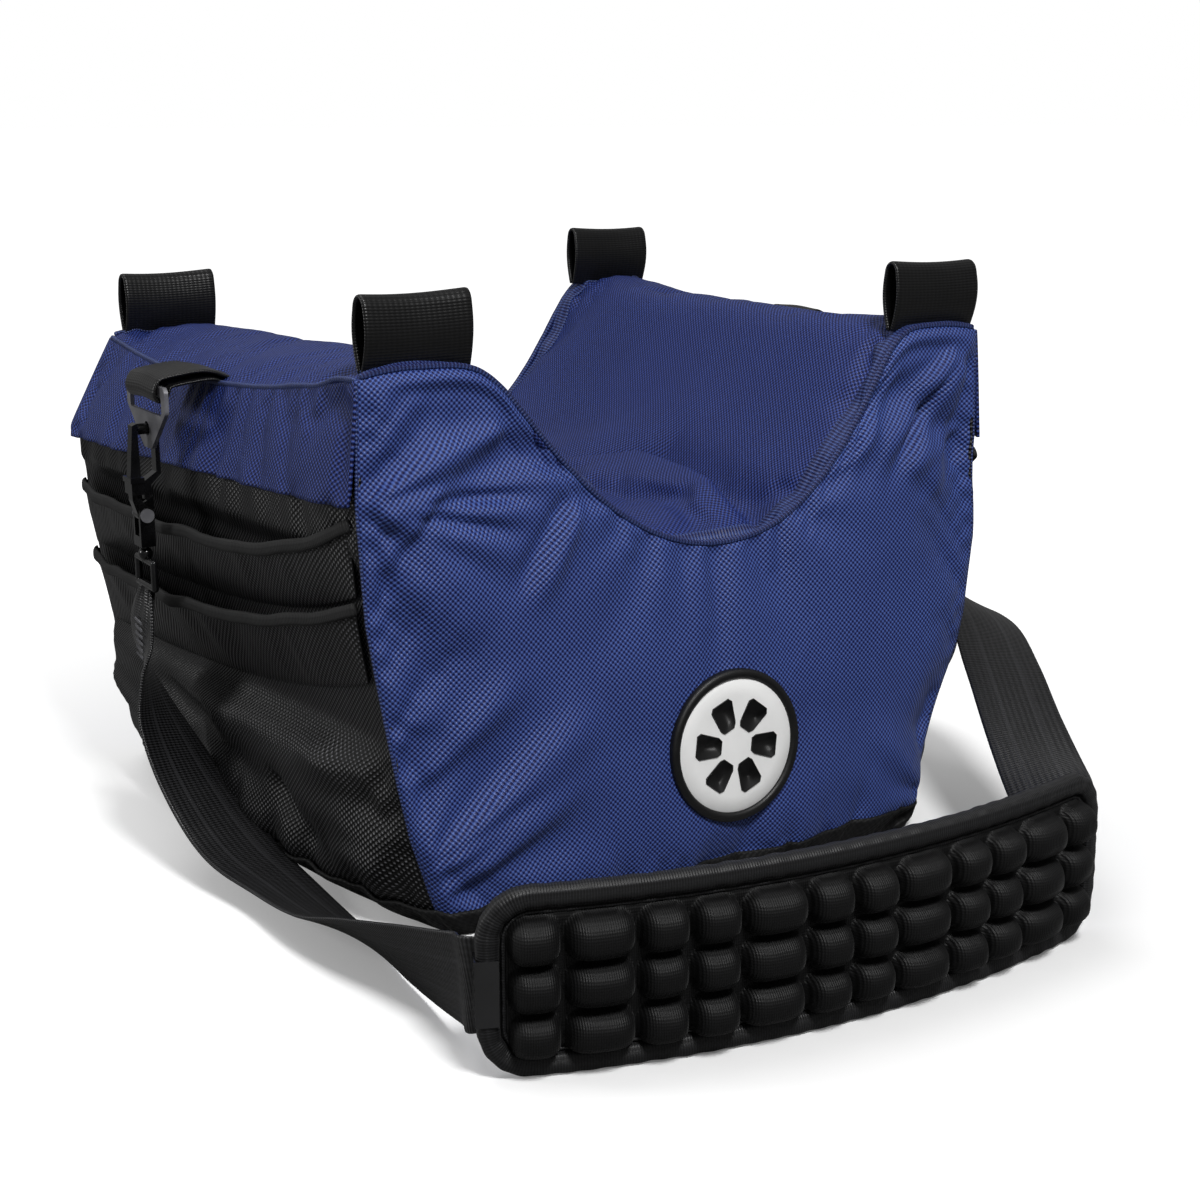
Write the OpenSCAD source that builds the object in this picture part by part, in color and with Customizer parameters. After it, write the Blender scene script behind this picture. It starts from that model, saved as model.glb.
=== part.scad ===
// Saddle-shaped camera support bag with a clip-on shoulder strap.
// +X is the bag's right seen from the front, -Y its front, +Z up.
// The origin is the middle of the bag's flat base.

/* [Bag body] */
// Depth of the bag from front panel to rear panel
bag_depth = 306; // [280:1:330]
// Extra half width of the bag at its rear
rear_widening = 20; // [0:1:26]
// How far each side swells half way back
side_swell = 3; // [0:0.5:5]
// Height of the saddle's lowest line above the base
trough_height = 154; // [140:1:165]
// How far the saddle's lowest line sits right of the middle
trough_shift = 12; // [0:1:16]
// Height of the left ridge at the front
left_ridge_front = 244; // [236:1:250]
// Height of the left ridge at the rear
left_ridge_rear = 233; // [226:1:250]
// Height of the right ridge at the front
right_ridge_front = 246; // [236:1:250]
// Height of the right ridge at the rear
right_ridge_rear = 248; // [236:1:250]
// Distance from the saddle's lowest line to the left ridge's inner edge
left_reach = 118; // [105:1:122]
// Distance from the saddle's lowest line to the right ridge's inner edge
right_reach = 103; // [96:1:110]
// Height of each shoulder panel's lower edge half way back
shoulder_edge = 185; // [182:1:188]
// Thickness of the cover's fabric panels
panel_t = 2; // [1.2:0.1:2.4]
// Thickness of the base panel
base_t = 3; // [2:0.5:4]

/* [Pockets] */
// Height of the upper pockets' mouth at the rear
upper_mouth = 157; // [154:1:160]
// Height of the lower pockets' mouth at the rear
lower_mouth = 119; // [116:1:122]
// Height of the lower pockets' bottom seam at the rear
pocket_bottom = 78; // [74:1:82]
// How far a pocket's mouth stands off the side
pocket_gape = 13; // [11:0.5:13]

/* [Webbing] */
// Width of the webbing of the four corner loops
loop_w = 50; // [40:1:52]
// Height of a corner loop above the ridge
loop_h = 31; // [26:1:36]
// Width of the tab that holds each ring plate
tab_w = 40; // [36:1:42]
// Width of the shoulder strap
strap_w = 38; // [32:1:38]
// Thickness of the webbing
web_t = 2; // [1.6:0.1:2.2]

/* [Ring plate and hook] */
// Front-to-back place of the ring plates
ring_y = 10; // [0:1:20]
// Distance of each ring plate from the middle of the bag
plate_x = 198; // [196:0.5:201]
// Height of the hole that the hook hangs in
hole_z = 203; // [201:0.5:204]
// Radius of that hole
hole_r = 3.4; // [3.2:0.1:3.6]
// Radius of the hook's nose in the hole
nose_r = 2.6; // [2.2:0.1:2.8]

/* [Shoulder pad] */
// Radius of the pad's back face, seen from above
pad_r = 440; // [420:5:460]
// Half of the angle that the pad's arc covers
pad_half_angle = 19.2; // [18:0.1:19.5]
// Height of the pad
pad_h = 74; // [72:1:76]
// How far the air cells stand out of the pad
cell_out = 11; // [8:1:12]

/* [Badge] */
// Radius of the round badge
badge_r = 36; // [30:0.5:38]
// Badge centre, right of the middle
badge_x = 22; // [10:1:30]
// Badge centre above the base
badge_z = 56; // [45:1:70]

/* [Hidden] */
$fn = 48;

blue = "#263a86";
black = "#1c1c1e";
metal = "#4a4a4d";
LEFT = -1;
RIGHT = 1;
// Space left between neighbouring pieces
gap = 0.4;
y_front = -bag_depth / 2;
y_rear = bag_depth / 2;

// ---- the bag's outer surface ----

// Height at which the side meets the ridge
seam_level = 230;
// Half width of the front panel at each height
front_profile = [[0, 132], [6, 138], [15, 143], [45, 151], [85, 158], [140, 166], [190, 169], [250, 167]];
// Share of the side's swell at each height
swell_profile = [[0, 0], [60, 1], [130, 1], [170, 0.4], [250, 0]];

function along(y) = (y - y_front) / bag_depth;
function swell(y, z) = side_swell * (1 - pow(2 * y / bag_depth, 2)) * lookup(z, swell_profile);
// The rear is wider only below the shoulders: the ridges run straight back
function widening(y, z) =
    rear_widening * along(y) * min(1, max(0, (seam_level - z) / (seam_level - shoulder_edge)));
function side_x(y, z) = lookup(z, front_profile) + widening(y, z) + swell(y, z);
function ridge_z(side, y) = side < 0
    ? left_ridge_front + (left_ridge_rear - left_ridge_front) * along(y)
    : right_ridge_front + (right_ridge_rear - right_ridge_front) * along(y);
// Distance of the seam outside each ridge from the middle
function seam_x(y) = side_x(y, seam_level);
// A smaller-of-two with a rounded corner
function soft_min(a, b) = -ln(exp(-9 * a) + exp(-9 * b)) / 9;
// Rise of the saddle from 0 in the trough to 1 on the flat ridge
function rise(x) = soft_min(x < trough_shift
    ? pow((trough_shift - x) / left_reach, 2)
    : pow((x - trough_shift) / right_reach, 2.3), 1);
// How far the ridge's outer edge rolls down to the seam
roll_w = 24;
function roll(x, y) =
    (3 + 12 * sin(180 * along(y))) * pow(max(0, abs(x) - seam_x(y) + roll_w) / roll_w, 2);
function saddle_z(x, y) =
    trough_height + (ridge_z(x - trough_shift, y) - trough_height) * rise(x) - roll(x, y);
function seam_z(side, y) = saddle_z(side * seam_x(y), y);

// ---- helpers ----

function steps(a, b, n) = [for (i = [0:n]) a + (b - a) * i / n];
function unit(v) = v / norm(v);
function flip(list) = [for (i = [len(list) - 1:-1:0]) list[i]];
function flat_list(rows) = [for (row = rows) for (p = row) p];

// A closed solid between two grids of points of the same size
module shell(outer, inner, turned = false) {
    n = len(outer);
    m = len(outer[0]);
    far = n * m;
    function at(i, j) = i * m + j;
    skin = [for (i = [0:n - 2]) for (j = [0:m - 2]) for (tri = [
        [at(i, j), at(i + 1, j), at(i + 1, j + 1)],
        [at(i, j), at(i + 1, j + 1), at(i, j + 1)]]) tri];
    back = [for (tri = skin) [far + tri[2], far + tri[1], far + tri[0]]];
    rim = concat(
        [for (j = [0:m - 1]) at(0, j)],
        [for (i = [1:n - 1]) at(i, m - 1)],
        [for (j = [m - 2:-1:0]) at(n - 1, j)],
        [for (i = [n - 2:-1:1]) at(i, 0)]);
    edge = [for (k = [0:len(rim) - 1]) let(a = rim[k], b = rim[(k + 1) % len(rim)]) for (tri = [
        [a, b, far + b], [a, far + b, far + a]]) tri];
    all_faces = concat(skin, back, edge);
    polyhedron(
        concat(flat_list(outer), flat_list(inner)),
        turned ? [for (f = all_faces) flip(f)] : all_faces);
}

// Outline of a thick line through the given 2D points
function band(points, t) =
    let(last = len(points) - 1,
        side = [for (i = [0:last])
            let(d = unit(points[min(i + 1, last)] - points[max(i - 1, 0)])) [-d[1], d[0]] * t / 2])
    concat([for (i = [0:last]) points[i] + side[i]], [for (i = [last:-1:0]) points[i] - side[i]]);

// A polygon's corners turned into arcs of radius r
function arc_corner(a, b, c, r, n = 6) =
    let(u = unit(a - b), v = unit(c - b), half = acos(u * v) / 2,
        middle = b + unit(u + v) * r / sin(half),
        from = b + u * r / tan(half) - middle, to = b + v * r / tan(half) - middle,
        turn = 180 - 2 * half)
    [for (i = [0:n]) middle + (from * sin((1 - i / n) * turn) + to * sin(i / n * turn)) / sin(turn)];
function rounded(points, r) =
    let(n = len(points))
    [for (i = [0:n - 1]) for (p = arc_corner(points[(i + n - 1) % n], points[i], points[(i + 1) % n], r)) p];

// Extrudes an outline drawn as (y, z) from x0 to x1
module along_x(x0, x1) {
    translate([x0, 0, 0]) rotate([90, 0, 90]) linear_extrude(x1 - x0) children();
}
// Extrudes an outline drawn as (x, z) from y0 to y1
module along_y(y0, y1) {
    translate([0, y1, 0]) rotate([90, 0, 0]) linear_extrude(y1 - y0) children();
}
module mirrored(side) {
    mirror([side > 0 ? 1 : 0, 0, 0]) children();
}

// ---- the cover's panels ----

depth_rows = steps(y_front + panel_t + gap, y_rear - panel_t - gap, 8);
// Heights of the points down an end panel's edge, which stops just above the base
edge_levels = [1, 6, 15, 45, 85, 120, 160, 200];

// The front or rear panel's outline at depth y
function end_outline(y) = concat(
    [for (z = edge_levels) [side_x(y, z), z]],
    [for (i = [24:-1:-24]) let(x = seam_x(y) * i / 24) [x, saddle_z(x, y)]],
    [for (z = flip(edge_levels)) [-side_x(y, z), z]]);

module front_panel() {
    color(blue) along_y(y_front, y_front + panel_t) polygon(end_outline(y_front));
}
module rear_panel() {
    color(blue) along_y(y_rear - panel_t, y_rear) polygon(end_outline(y_rear));
}

module saddle_panel() {
    function grid(drop) = [for (y = depth_rows) [for (i = [-20:20])
        let(x = (seam_x(y) - gap) * i / 20) [x, y, saddle_z(x, y) - drop]]];
    color(blue) shell(grid(0), grid(panel_t + 0.6), true);
}

// The shoulder panels' lower edge falls towards the rear
function flap_edge(y) = shoulder_edge + 5 - 10 * along(y);
// How far a shoulder panel stands off the side: 1 at the seam and 4 at its lower edge
module shoulder_panel(side) {
    function grid(inset) = [for (y = depth_rows) [for (k = steps(0, 1, 4))
        let(z = flap_edge(y) + (seam_z(side, y) - 3 - flap_edge(y)) * k)
        [side * (side_x(y, z) + 4 - 3 * k - inset), y, z]]];
    color(blue) shell(grid(0), grid(panel_t), side < 0);
}

module side_panel(side) {
    overlap = 8;
    function levels(y) = concat([base_t + gap], steps(12, flap_edge(y) + overlap, 8));
    function grid(inset) = [for (y = depth_rows) [for (z = levels(y))
        [side * (side_x(y, z) - 1.2 - inset), y, z]]];
    color(black) shell(grid(0), grid(panel_t * 0.6), side < 0);
}

module base_panel() {
    inset = panel_t + gap;
    color(black) linear_extrude(base_t) polygon(concat(
        [for (y = steps(y_front + inset, y_rear - inset, 8)) [side_x(y, 2) - 2, y]],
        [for (y = steps(y_rear - inset, y_front + inset, 8)) [2 - side_x(y, 2), y]]));
}

// The inner liner with its bead filling, in upright blocks that follow the saddle's curve
core_inset = 3.2;
block_edges = [-1.15, -1, -0.84, -0.7, -0.56, -0.4, -0.2, 0.04, 0.24, 0.42, 0.57, 0.71, 0.84, 1, 1.15];
// Top of the two outermost blocks, which fill the wider rear below the shoulders
outer_block_top = 213;
function core_half(y) = seam_x(y) - core_inset;
// A solid with a flat front and rear, from two loops of points of the same length
module loft(front, rear) {
    m = len(front);
    sides = [for (j = [0:m - 1]) let(k = (j + 1) % m) for (tri = [[j, m + k, m + j], [j, k, m + k]]) tri];
    ends = [[for (j = [m - 1:-1:0]) j], [for (j = [0:m - 1]) m + j]];
    polyhedron(concat(front, rear), concat(sides, ends));
}
module core_block(left, right) {
    outermost = left < -1 || right > 1;
    // Keeps the straight block below the ridge's edge, which is lowest half way back
    function sunk(x, y) = saddle_z(x, y) + roll(x, y) - roll(x, 0) - core_inset - 2;
    function top(share, y) = outermost ? outer_block_top : sunk(share * core_half(y), y);
    function corners(y) = let(a = left * core_half(y) + gap / 2, b = right * core_half(y) - gap / 2)
        [[b, y, base_t + gap], [b, y, top(right, y)], [a, y, top(left, y)], [a, y, base_t + gap]];
    loft(corners(y_front + core_inset), corners(y_rear - core_inset));
}
module bead_core() {
    heights = [base_t + gap / 2, 15, 45, 85, 140, 190, 215, 260];
    function sides(y) = concat(
        [for (z = heights) [side_x(y, z) - core_inset, y, z]],
        [for (z = flip(heights)) [core_inset - side_x(y, z), y, z]]);
    color("lightgrey") intersection() {
        loft(sides(y_front + core_inset), sides(y_rear - core_inset));
        for (i = [1:len(block_edges) - 1]) core_block(block_edges[i - 1], block_edges[i]);
    }
}

// ---- the side pockets ----

pocket_rows = steps(y_front + 6, y_rear - 6, 12);
// A pocket's stand-off: none at its ends and its bottom, most in the middle of its mouth
function stand_off(y, share) =
    0.3 + pocket_gape * pow(share, 0.8) * pow(max(0, 1 - pow(abs(2 * y / (bag_depth - 12)), 3)), 0.6);
// A pocket's edges climb towards the front
function climb(y, height, length) = height * exp((y_front - y) / length);
function upper_top(y) = upper_mouth + climb(y, 30, 45);
function lower_top(y) = lower_mouth + climb(y, 31, 75);
function lower_bottom(y) = pocket_bottom + climb(y, 37, 110);
function pocket_top(tier, y) = tier == "upper" ? upper_top(y) : lower_top(y);
function pocket_low(tier, y) = tier == "upper" ? lower_top(y) + 3 : lower_bottom(y);

// A pocket's fabric between two shares of its height, with its inner and outer offsets
module pocket_band(side, tier, share_low, share_high, drop, inner, outer) {
    function grid(extra) = [for (y = pocket_rows) [for (k = steps(share_low, share_high, 4))
        let(low = pocket_low(tier, y), z = low + (pocket_top(tier, y) - low) * k - drop)
        [side * (side_x(y, z) + stand_off(y, k) + extra), y, z]]];
    shell(grid(outer), grid(inner), side < 0);
}
// Share of a pocket's height where its binding starts
binding_share = 0.84;
module pocket(side, tier) {
    color(black) pocket_band(side, tier, 0, binding_share, gap, 0, 1.4);
}
module pocket_binding(side, tier) {
    color(black) pocket_band(side, tier, binding_share, 1, 0, -0.3, 1.9);
}

// ---- corner loops and tabs ----

// A folded loop of webbing: its centre line as (y, z), from one end over the top to the other
function loop_line(h) = concat(
    [for (k = steps(0, 1, 7)) [-1.3 - 4.4 * sin(150 * k), h * 0.9 * k]],
    [[0, h - web_t / 2]],
    [for (k = steps(1, 0, 7)) [1.3 + 4.4 * sin(150 * k), h * 0.9 * k]]);

module corner_loop(side, y) {
    outer_x = seam_x(y) - 5;
    inner_x = outer_x - loop_w;
    z = max(saddle_z(side * outer_x, y), saddle_z(side * inner_x, y), ridge_z(side, y)) + 2 * gap;
    inward = y < 0 ? 7 : -7;
    color(black) translate([0, y + inward, z])
        along_x(side < 0 ? -outer_x : inner_x, side < 0 ? -inner_x : outer_x)
        polygon(band(loop_line(loop_h), web_t));
}

bar_z = hole_z + 19;
// The tab's centre line as (x, z) on the left: up from the seam, over the ring's bar and back
function tab_line(seam, root) = [
    [-seam + 1.5, root + 3.8], [-seam - 2, root + 6.2], [-seam - 10, root + 7],
    [-plate_x + 2, bar_z + 6.5], [-plate_x - 1.6, bar_z + 4.2], [-plate_x - 3.1, bar_z],
    [-plate_x - 1.6, bar_z - 3.8], [-plate_x + 1.6, bar_z - 3.8], [-plate_x + 4, bar_z],
    [-plate_x + 6, bar_z + 2.6], [-seam - 6, root + 3.4]
];
module tab(side) {
    mirrored(side) color(black) along_y(ring_y - tab_w / 2, ring_y + tab_w / 2)
        polygon(band(tab_line(seam_x(ring_y), seam_z(side, ring_y)), web_t * 0.9));
}

// ---- badge ----

module badge_disc(r, y_out, y_in) {
    translate([badge_x, y_in, badge_z]) rotate([90, 0, 0]) cylinder(r = r, h = y_in - y_out);
}
badge_back = y_front - 0.1;
module badge_rim() {
    color(black) difference() {
        badge_disc(badge_r, badge_back - 2, badge_back);
        badge_disc(badge_r - 4, badge_back - 3, badge_back + 1);
    }
}
module badge_face() {
    color("white") badge_disc(badge_r - 4.2, badge_back - 1.2, badge_back);
}
// A ring of blades, like an open aperture
blades = 6;
blade_outline = [[0.22, -0.13], [0.6, -0.27], [0.65, 0.09], [0.25, 0.1]];
module badge_mark() {
    face_y = badge_back - 1.3;
    color(black) translate([badge_x, face_y, badge_z]) rotate([90, 0, 0]) linear_extrude(0.6)
        for (i = [0:blades - 1]) rotate(360 / blades * i) polygon(badge_r * blade_outline);
}

// ---- ring plate ----

plate_t = 2;
plate_half = 26;
plate_top = bar_z + 2.4;
module ring_plate(side) {
    y = ring_y;
    outline = [
        [y - plate_half, plate_top], [y - plate_half, hole_z + 9.5], [y - 5, hole_z - 9],
        [y + 5, hole_z - 9], [y + plate_half, hole_z + 9.5], [y + plate_half, plate_top]
    ];
    slot = [
        [y - tab_w / 2 - 1.2, bar_z - 2.4], [y - tab_w / 2 - 1.2, hole_z + 8],
        [y + tab_w / 2 + 1.2, hole_z + 8], [y + tab_w / 2 + 1.2, bar_z - 2.4]
    ];
    mirrored(side) color(metal) difference() {
        along_x(-plate_x - plate_t / 2, -plate_x + plate_t / 2) difference() {
            polygon(rounded(outline, 3));
            polygon(rounded(slot, 1.5));
        }
        translate([-plate_x - 5, y, hole_z]) rotate([0, 90, 0]) cylinder(r = hole_r, h = 10);
    }
}

// ---- snap hook ----

hook_x = plate_x + 5;
hook_w = 10;
pivot_z = hole_z - 40;
pivot_r = 2.2;
pivot_play = 0.05;
// The fixed half: inner blade, nose, spine and the two ears that hold the gate's rivet
module hook_frame(side) {
    y = ring_y;
    blade_in = plate_x - 3.6;
    blade = [
        [-blade_in, hole_z + 3.4], [-blade_in - 2.2, hole_z + 3.4], [-blade_in - 2.2, hole_z - 20],
        [-hook_x + 0.4, hole_z - 24], [-hook_x + 0.4, pivot_z + 7], [-hook_x + 3.6, pivot_z + 7],
        [-hook_x + 3.6, hole_z - 26], [-blade_in, hole_z - 21]
    ];
    mirrored(side) color(metal) difference() {
        union() {
            along_y(y - 3, y + 3) polygon(blade);
            translate([-blade_in - 1, y, hole_z]) rotate([0, -90, 0]) cylinder(r = nose_r, h = 8.4);
            for (dy = [-hook_w / 2, hook_w / 2 - 2]) along_y(y + dy, y + dy + 2) polygon([
                [-hook_x - 3.4, pivot_z - 14], [-hook_x - 3.4, pivot_z + 5], [-hook_x + 3.6, pivot_z + 9],
                [-hook_x + 3.6, pivot_z - 14]]);
            along_y(y - hook_w / 2, y + hook_w / 2) polygon([
                [-hook_x - 3.4, pivot_z - 15], [-hook_x - 3.4, pivot_z - 10],
                [-hook_x + 3.6, pivot_z - 10], [-hook_x + 3.6, pivot_z - 15]]);
        }
        translate([-hook_x, y + hook_w, pivot_z]) rotate([90, 0, 0])
            cylinder(r = pivot_r + pivot_play, h = 2 * hook_w);
        translate([-hook_x, y, pivot_z - 16]) cylinder(r = 1.9 + pivot_play, h = 7);
    }
}
module hook_rivet(side) {
    y = ring_y;
    mirrored(side) color(metal) translate([-hook_x, y + hook_w / 2 + 1, pivot_z]) rotate([90, 0, 0]) {
        cylinder(r = pivot_r, h = hook_w + 2);
        cylinder(r = pivot_r + 1.1, h = 0.95);
        translate([0, 0, hook_w + 1.05]) cylinder(r = pivot_r + 1.1, h = 0.95);
    }
}
// The gate: outer blade, collar and ribbed thumb piece, turning on the rivet
module gate(side) {
    y = ring_y;
    knuckle_w = hook_w - 4.4;
    mirrored(side) color(metal) difference() {
        union() {
            translate([-hook_x, y + knuckle_w / 2, pivot_z]) rotate([90, 0, 0])
                cylinder(r = 3.6, h = knuckle_w);
            along_y(y - knuckle_w / 2, y + knuckle_w / 2) polygon([
                [-hook_x - 3.4, pivot_z], [-hook_x - 5.6, pivot_z + 7], [-hook_x - 6, hole_z - 22],
                [-hook_x - 4, hole_z + 2], [-hook_x - 1.6, hole_z + 3], [-hook_x - 1, hole_z - 22],
                [-hook_x - 1, pivot_z]]);
            along_y(y - hook_w / 2, y + hook_w / 2) polygon([
                [-hook_x - 6.4, pivot_z + 10], [-hook_x - 6.4, hole_z - 22],
                [-hook_x - 0.4, hole_z - 22], [-hook_x - 0.4, pivot_z + 10]]);
            along_y(y - hook_w / 2 - 0.6, y + hook_w / 2 + 0.6) polygon([
                [-hook_x - 7, hole_z - 24.4], [-hook_x - 7, hole_z - 22],
                [-hook_x - 0.3, hole_z - 22], [-hook_x - 0.3, hole_z - 24.4]]);
        }
        translate([-hook_x, y + hook_w, pivot_z]) rotate([90, 0, 0])
            cylinder(r = pivot_r + pivot_play, h = 2 * hook_w);
        translate([-hook_x - 0.9, y, hole_z]) rotate([0, 90, 0]) cylinder(r = nose_r + 0.3, h = 4);
    }
}
// A leaf spring between the gate's knuckle and the frame's floor
module gate_spring(side) {
    y = ring_y;
    mirrored(side) color("silver") along_y(y - 2, y + 2) polygon(band([
        [-hook_x + 3.2, pivot_z - 9.9], [-hook_x + 3.2, pivot_z - 8], [-hook_x + 1.4, pivot_z - 6],
        [-hook_x - 1.2, pivot_z - 4.3]], 0.6));
}
// The ball-headed stud that the strap's link turns on
stud_r = 1.9;
module swivel(side) {
    y = ring_y;
    mirrored(side) color(metal) translate([-hook_x, y, 0]) {
        translate([0, 0, pivot_z - 23]) cylinder(r = stud_r, h = 13.9);
        translate([0, 0, pivot_z - 9.9]) cylinder(r = 2.6, h = 0.8);
        translate([0, 0, pivot_z - 19]) sphere(r = 3.4);
    }
}
link_w = 22;
link_top = pivot_z - 22;
link_low = link_top - 12;
// The wire frame that the strap is sewn round
module strap_link(side) {
    wire = 1.7;
    y = ring_y;
    mirrored(side) color(metal) {
        for (z = [link_low, link_top]) translate([-hook_x, y + link_w / 2, z]) rotate([90, 0, 0])
            cylinder(r = wire, h = link_w);
        for (dy = [-link_w / 2, link_w / 2]) translate([-hook_x, y + dy, link_low])
            cylinder(r = wire, h = link_top - link_low);
        for (dy = [-link_w / 2, link_w / 2]) for (z = [link_low, link_top])
            translate([-hook_x, y + dy, z]) sphere(r = wire);
    }
}

// ---- shoulder strap ----

// Middle of the pad's arc, seen from above, and the way its middle faces
pad_centre = [-16, 127];
pad_facing = -93.4;
function on_pad(r, a) = [pad_centre[0] + r * cos(pad_facing + a), pad_centre[1] + r * sin(pad_facing + a)];
strap_on_pad_r = pad_r - 3;
strap_z = 34;

// Each row: a point on the strap's middle line, the way its width points, and its width
left_run = [
    [[-203, 10, 128.5], [0, 1, 0], 16],
    [[-205, 12, 116], [0, 1, 0], 30],
    [[-206, 14, 101], [0.1, 1, 0], strap_w],
    [[-205, 12, 85], [0.4, 0.92, 0], strap_w],
    [[-202, 3, 64], [0.7, 0.7, 0], strap_w],
    [[-197, -22, 39], [0.9, 0.4, 0], strap_w],
    [[-191, -58, 18], [1, 0.1, -0.05], strap_w],
    [[-184, -98, 9], [0.97, 0, -0.22], strap_w],
    [[-184, -148, 10.5], [0.9, 0, -0.42], strap_w],
    [[-184, -190, 16.2], [0.64, 0, -0.77], strap_w],
    [[-182, -225, 21.5], [0.35, 0, -0.94], strap_w],
    [[-182, -258, 28.5], [0.1, 0, -0.99], strap_w]
];
pad_run = [for (a = steps(-pad_half_angle, pad_half_angle, 8))
    let(p = on_pad(strap_on_pad_r, a)) [[p[0], p[1], strap_z], [0, 0, -1], strap_w]];
right_run = [
    [[117, -275, 37], [-0.45, 0.25, -0.85], strap_w],
    [[131, -247, 46], [-0.78, 0.45, -0.42], strap_w],
    [[149, -212, 61], [-0.84, 0.52, -0.12], strap_w],
    [[169.5, -175, 77], [-0.84, 0.53, 0], strap_w],
    [[192, -133, 91], [-0.5, 0.74, 0.3], strap_w],
    [[202, -88, 100], [-0.15, 0.8, 0.5], strap_w],
    [[205, -48, 101], [-0.05, 0.75, 0.64], strap_w],
    [[206, -16, 98], [-0.03, 0.75, 0.66], strap_w],
    [[206, 2, 105], [0, 0.92, 0.4], strap_w],
    [[205, 9, 116], [0, 1, 0.05], 30],
    [[203, 10, 128.5], [0, 1, 0], 16]
];
strap_path = concat(left_run, pad_run, right_run);

module shoulder_strap() {
    last = len(strap_path) - 1;
    corners = [for (i = [0:last])
        let(c = strap_path[i][0],
            t = unit(strap_path[min(i + 1, last)][0] - strap_path[max(i - 1, 0)][0]),
            raw = strap_path[i][1],
            w = unit(raw - t * (raw * t)) * strap_path[i][2] / 2,
            n = unit(cross(t, w)) * web_t / 2)
        for (p = [c - w - n, c + w - n, c + w + n, c - w + n]) p];
    walls = [for (i = [0:last - 1]) for (j = [0:3]) let(k = (j + 1) % 4) for (tri = [
        [4 * i + j, 4 * i + k, 4 * i + 4 + k], [4 * i + j, 4 * i + 4 + k, 4 * i + 4 + j]]) tri];
    color(black) polyhedron(corners, concat([for (f = walls) flip(f)],
        [[0, 1, 2, 3], [for (j = [3:-1:0]) 4 * last + j]]));
}

// Rows of thread that close the strap's sewn end below the left link
module strap_stitches() {
    color("grey") for (i = [0:5]) translate([-207.2, 14, 94 + 3.4 * i]) rotate([0, 0, -6])
        cube([0.5, 13, 1.2], center = true);
}
// The three-bar slider that sets the strap's length, on the run behind the right side
slider_z = 110;
module strap_slider() {
    bar = 3;
    inside = strap_w + 2;
    color(black) translate([208, ring_y - 4, slider_z]) rotate([14, 0, 0]) {
        for (z = [-9, 0, 9]) translate([0, -inside / 2, z - bar / 2]) cube([2.4, inside, bar]);
        for (y = [-inside / 2 - bar, inside / 2]) translate([0, y, -9 - bar / 2]) cube([2.4, bar, 18 + bar]);
    }
}

// ---- shoulder pad ----

binding_w = 8;
pad_t = 6;
// A block bent round the pad's arc, from radius r0 to r1, angle a0 to a1 and height z0 to z1
module pad_block(r0, r1, a0, a1, z0, z1) {
    translate([pad_centre[0], pad_centre[1], 0]) rotate([0, 0, pad_facing + a0])
        rotate_extrude(angle = a1 - a0, $fn = 180) translate([r0, z0]) square([r1 - r0, z1 - z0]);
}
binding_a = binding_w / pad_r * 57.3;
module pad_back() {
    edge = binding_a - 0.4;
    a = pad_half_angle - edge;
    color(black) pad_block(pad_r + 1.6, pad_r + pad_t, -a, a, 7, pad_h - 7);
}
module pad_binding() {
    a = pad_half_angle;
    color(black) difference() {
        pad_block(pad_r + 0.4, pad_r + pad_t + 2, -a, a, 0, pad_h);
        pad_block(pad_r, pad_r + pad_t + 3, -a + binding_a - 0.45, a - binding_a + 0.45, 6.6, pad_h - 6.6);
    }
}
// Widths of the twelve columns of air cells, as shares of a narrow one
cell_columns = [1, 1.45, 1, 1, 1.45, 1, 1, 1.45, 1, 1, 1.45, 1];
cell_gap = 0.55;
function sum_to(list, n) = n == 0 ? 0 : list[n - 1] + sum_to(list, n - 1);
module pad_cells() {
    span = 2 * (pad_half_angle - binding_a - 0.35);
    unit_a = (span - cell_gap * len(cell_columns)) / sum_to(cell_columns, len(cell_columns));
    rows = 3;
    row_pitch = 18.8;
    cell_h = 15.8;
    first_row = 8.4;
    color(black) for (i = [0:len(cell_columns) - 1]) for (k = [0:rows - 1]) {
        middle = -span / 2 + unit_a * (sum_to(cell_columns, i) + cell_columns[i] / 2) + cell_gap * (i + 0.5);
        wide = 2 * pad_r * sin(unit_a * cell_columns[i] / 2);
        translate([pad_centre[0], pad_centre[1], first_row + row_pitch * k])
            rotate([0, 0, pad_facing + middle]) translate([pad_r + pad_t + 0.1, -wide / 2, 0])
            cube([cell_out - 0.1, wide, cell_h]);
    }
}
// The fabric tunnel on the pad's back that the strap runs through
module pad_tunnel() {
    a = pad_half_angle - 2.2;
    color(black) {
        pad_block(pad_r - 6, pad_r - 4.6, -a, a, 8, pad_h - 10);
        for (z = [8, pad_h - 14.5]) pad_block(pad_r - 4.6, pad_r + 0.1, -a, a, z, z + 4.5);
    }
}
// The glossy guard over the pad's left edge, where the strap enters
module pad_end_guard() {
    a = -pad_half_angle;
    color(black) difference() {
        pad_block(pad_r - 0.6, pad_r + pad_t + 3, a - 0.14, a + 1, 22, 48);
        pad_block(pad_r + 0.2, pad_r + pad_t + 2.2, a - 0.02, a + 2, 20, 50);
    }
}

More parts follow.
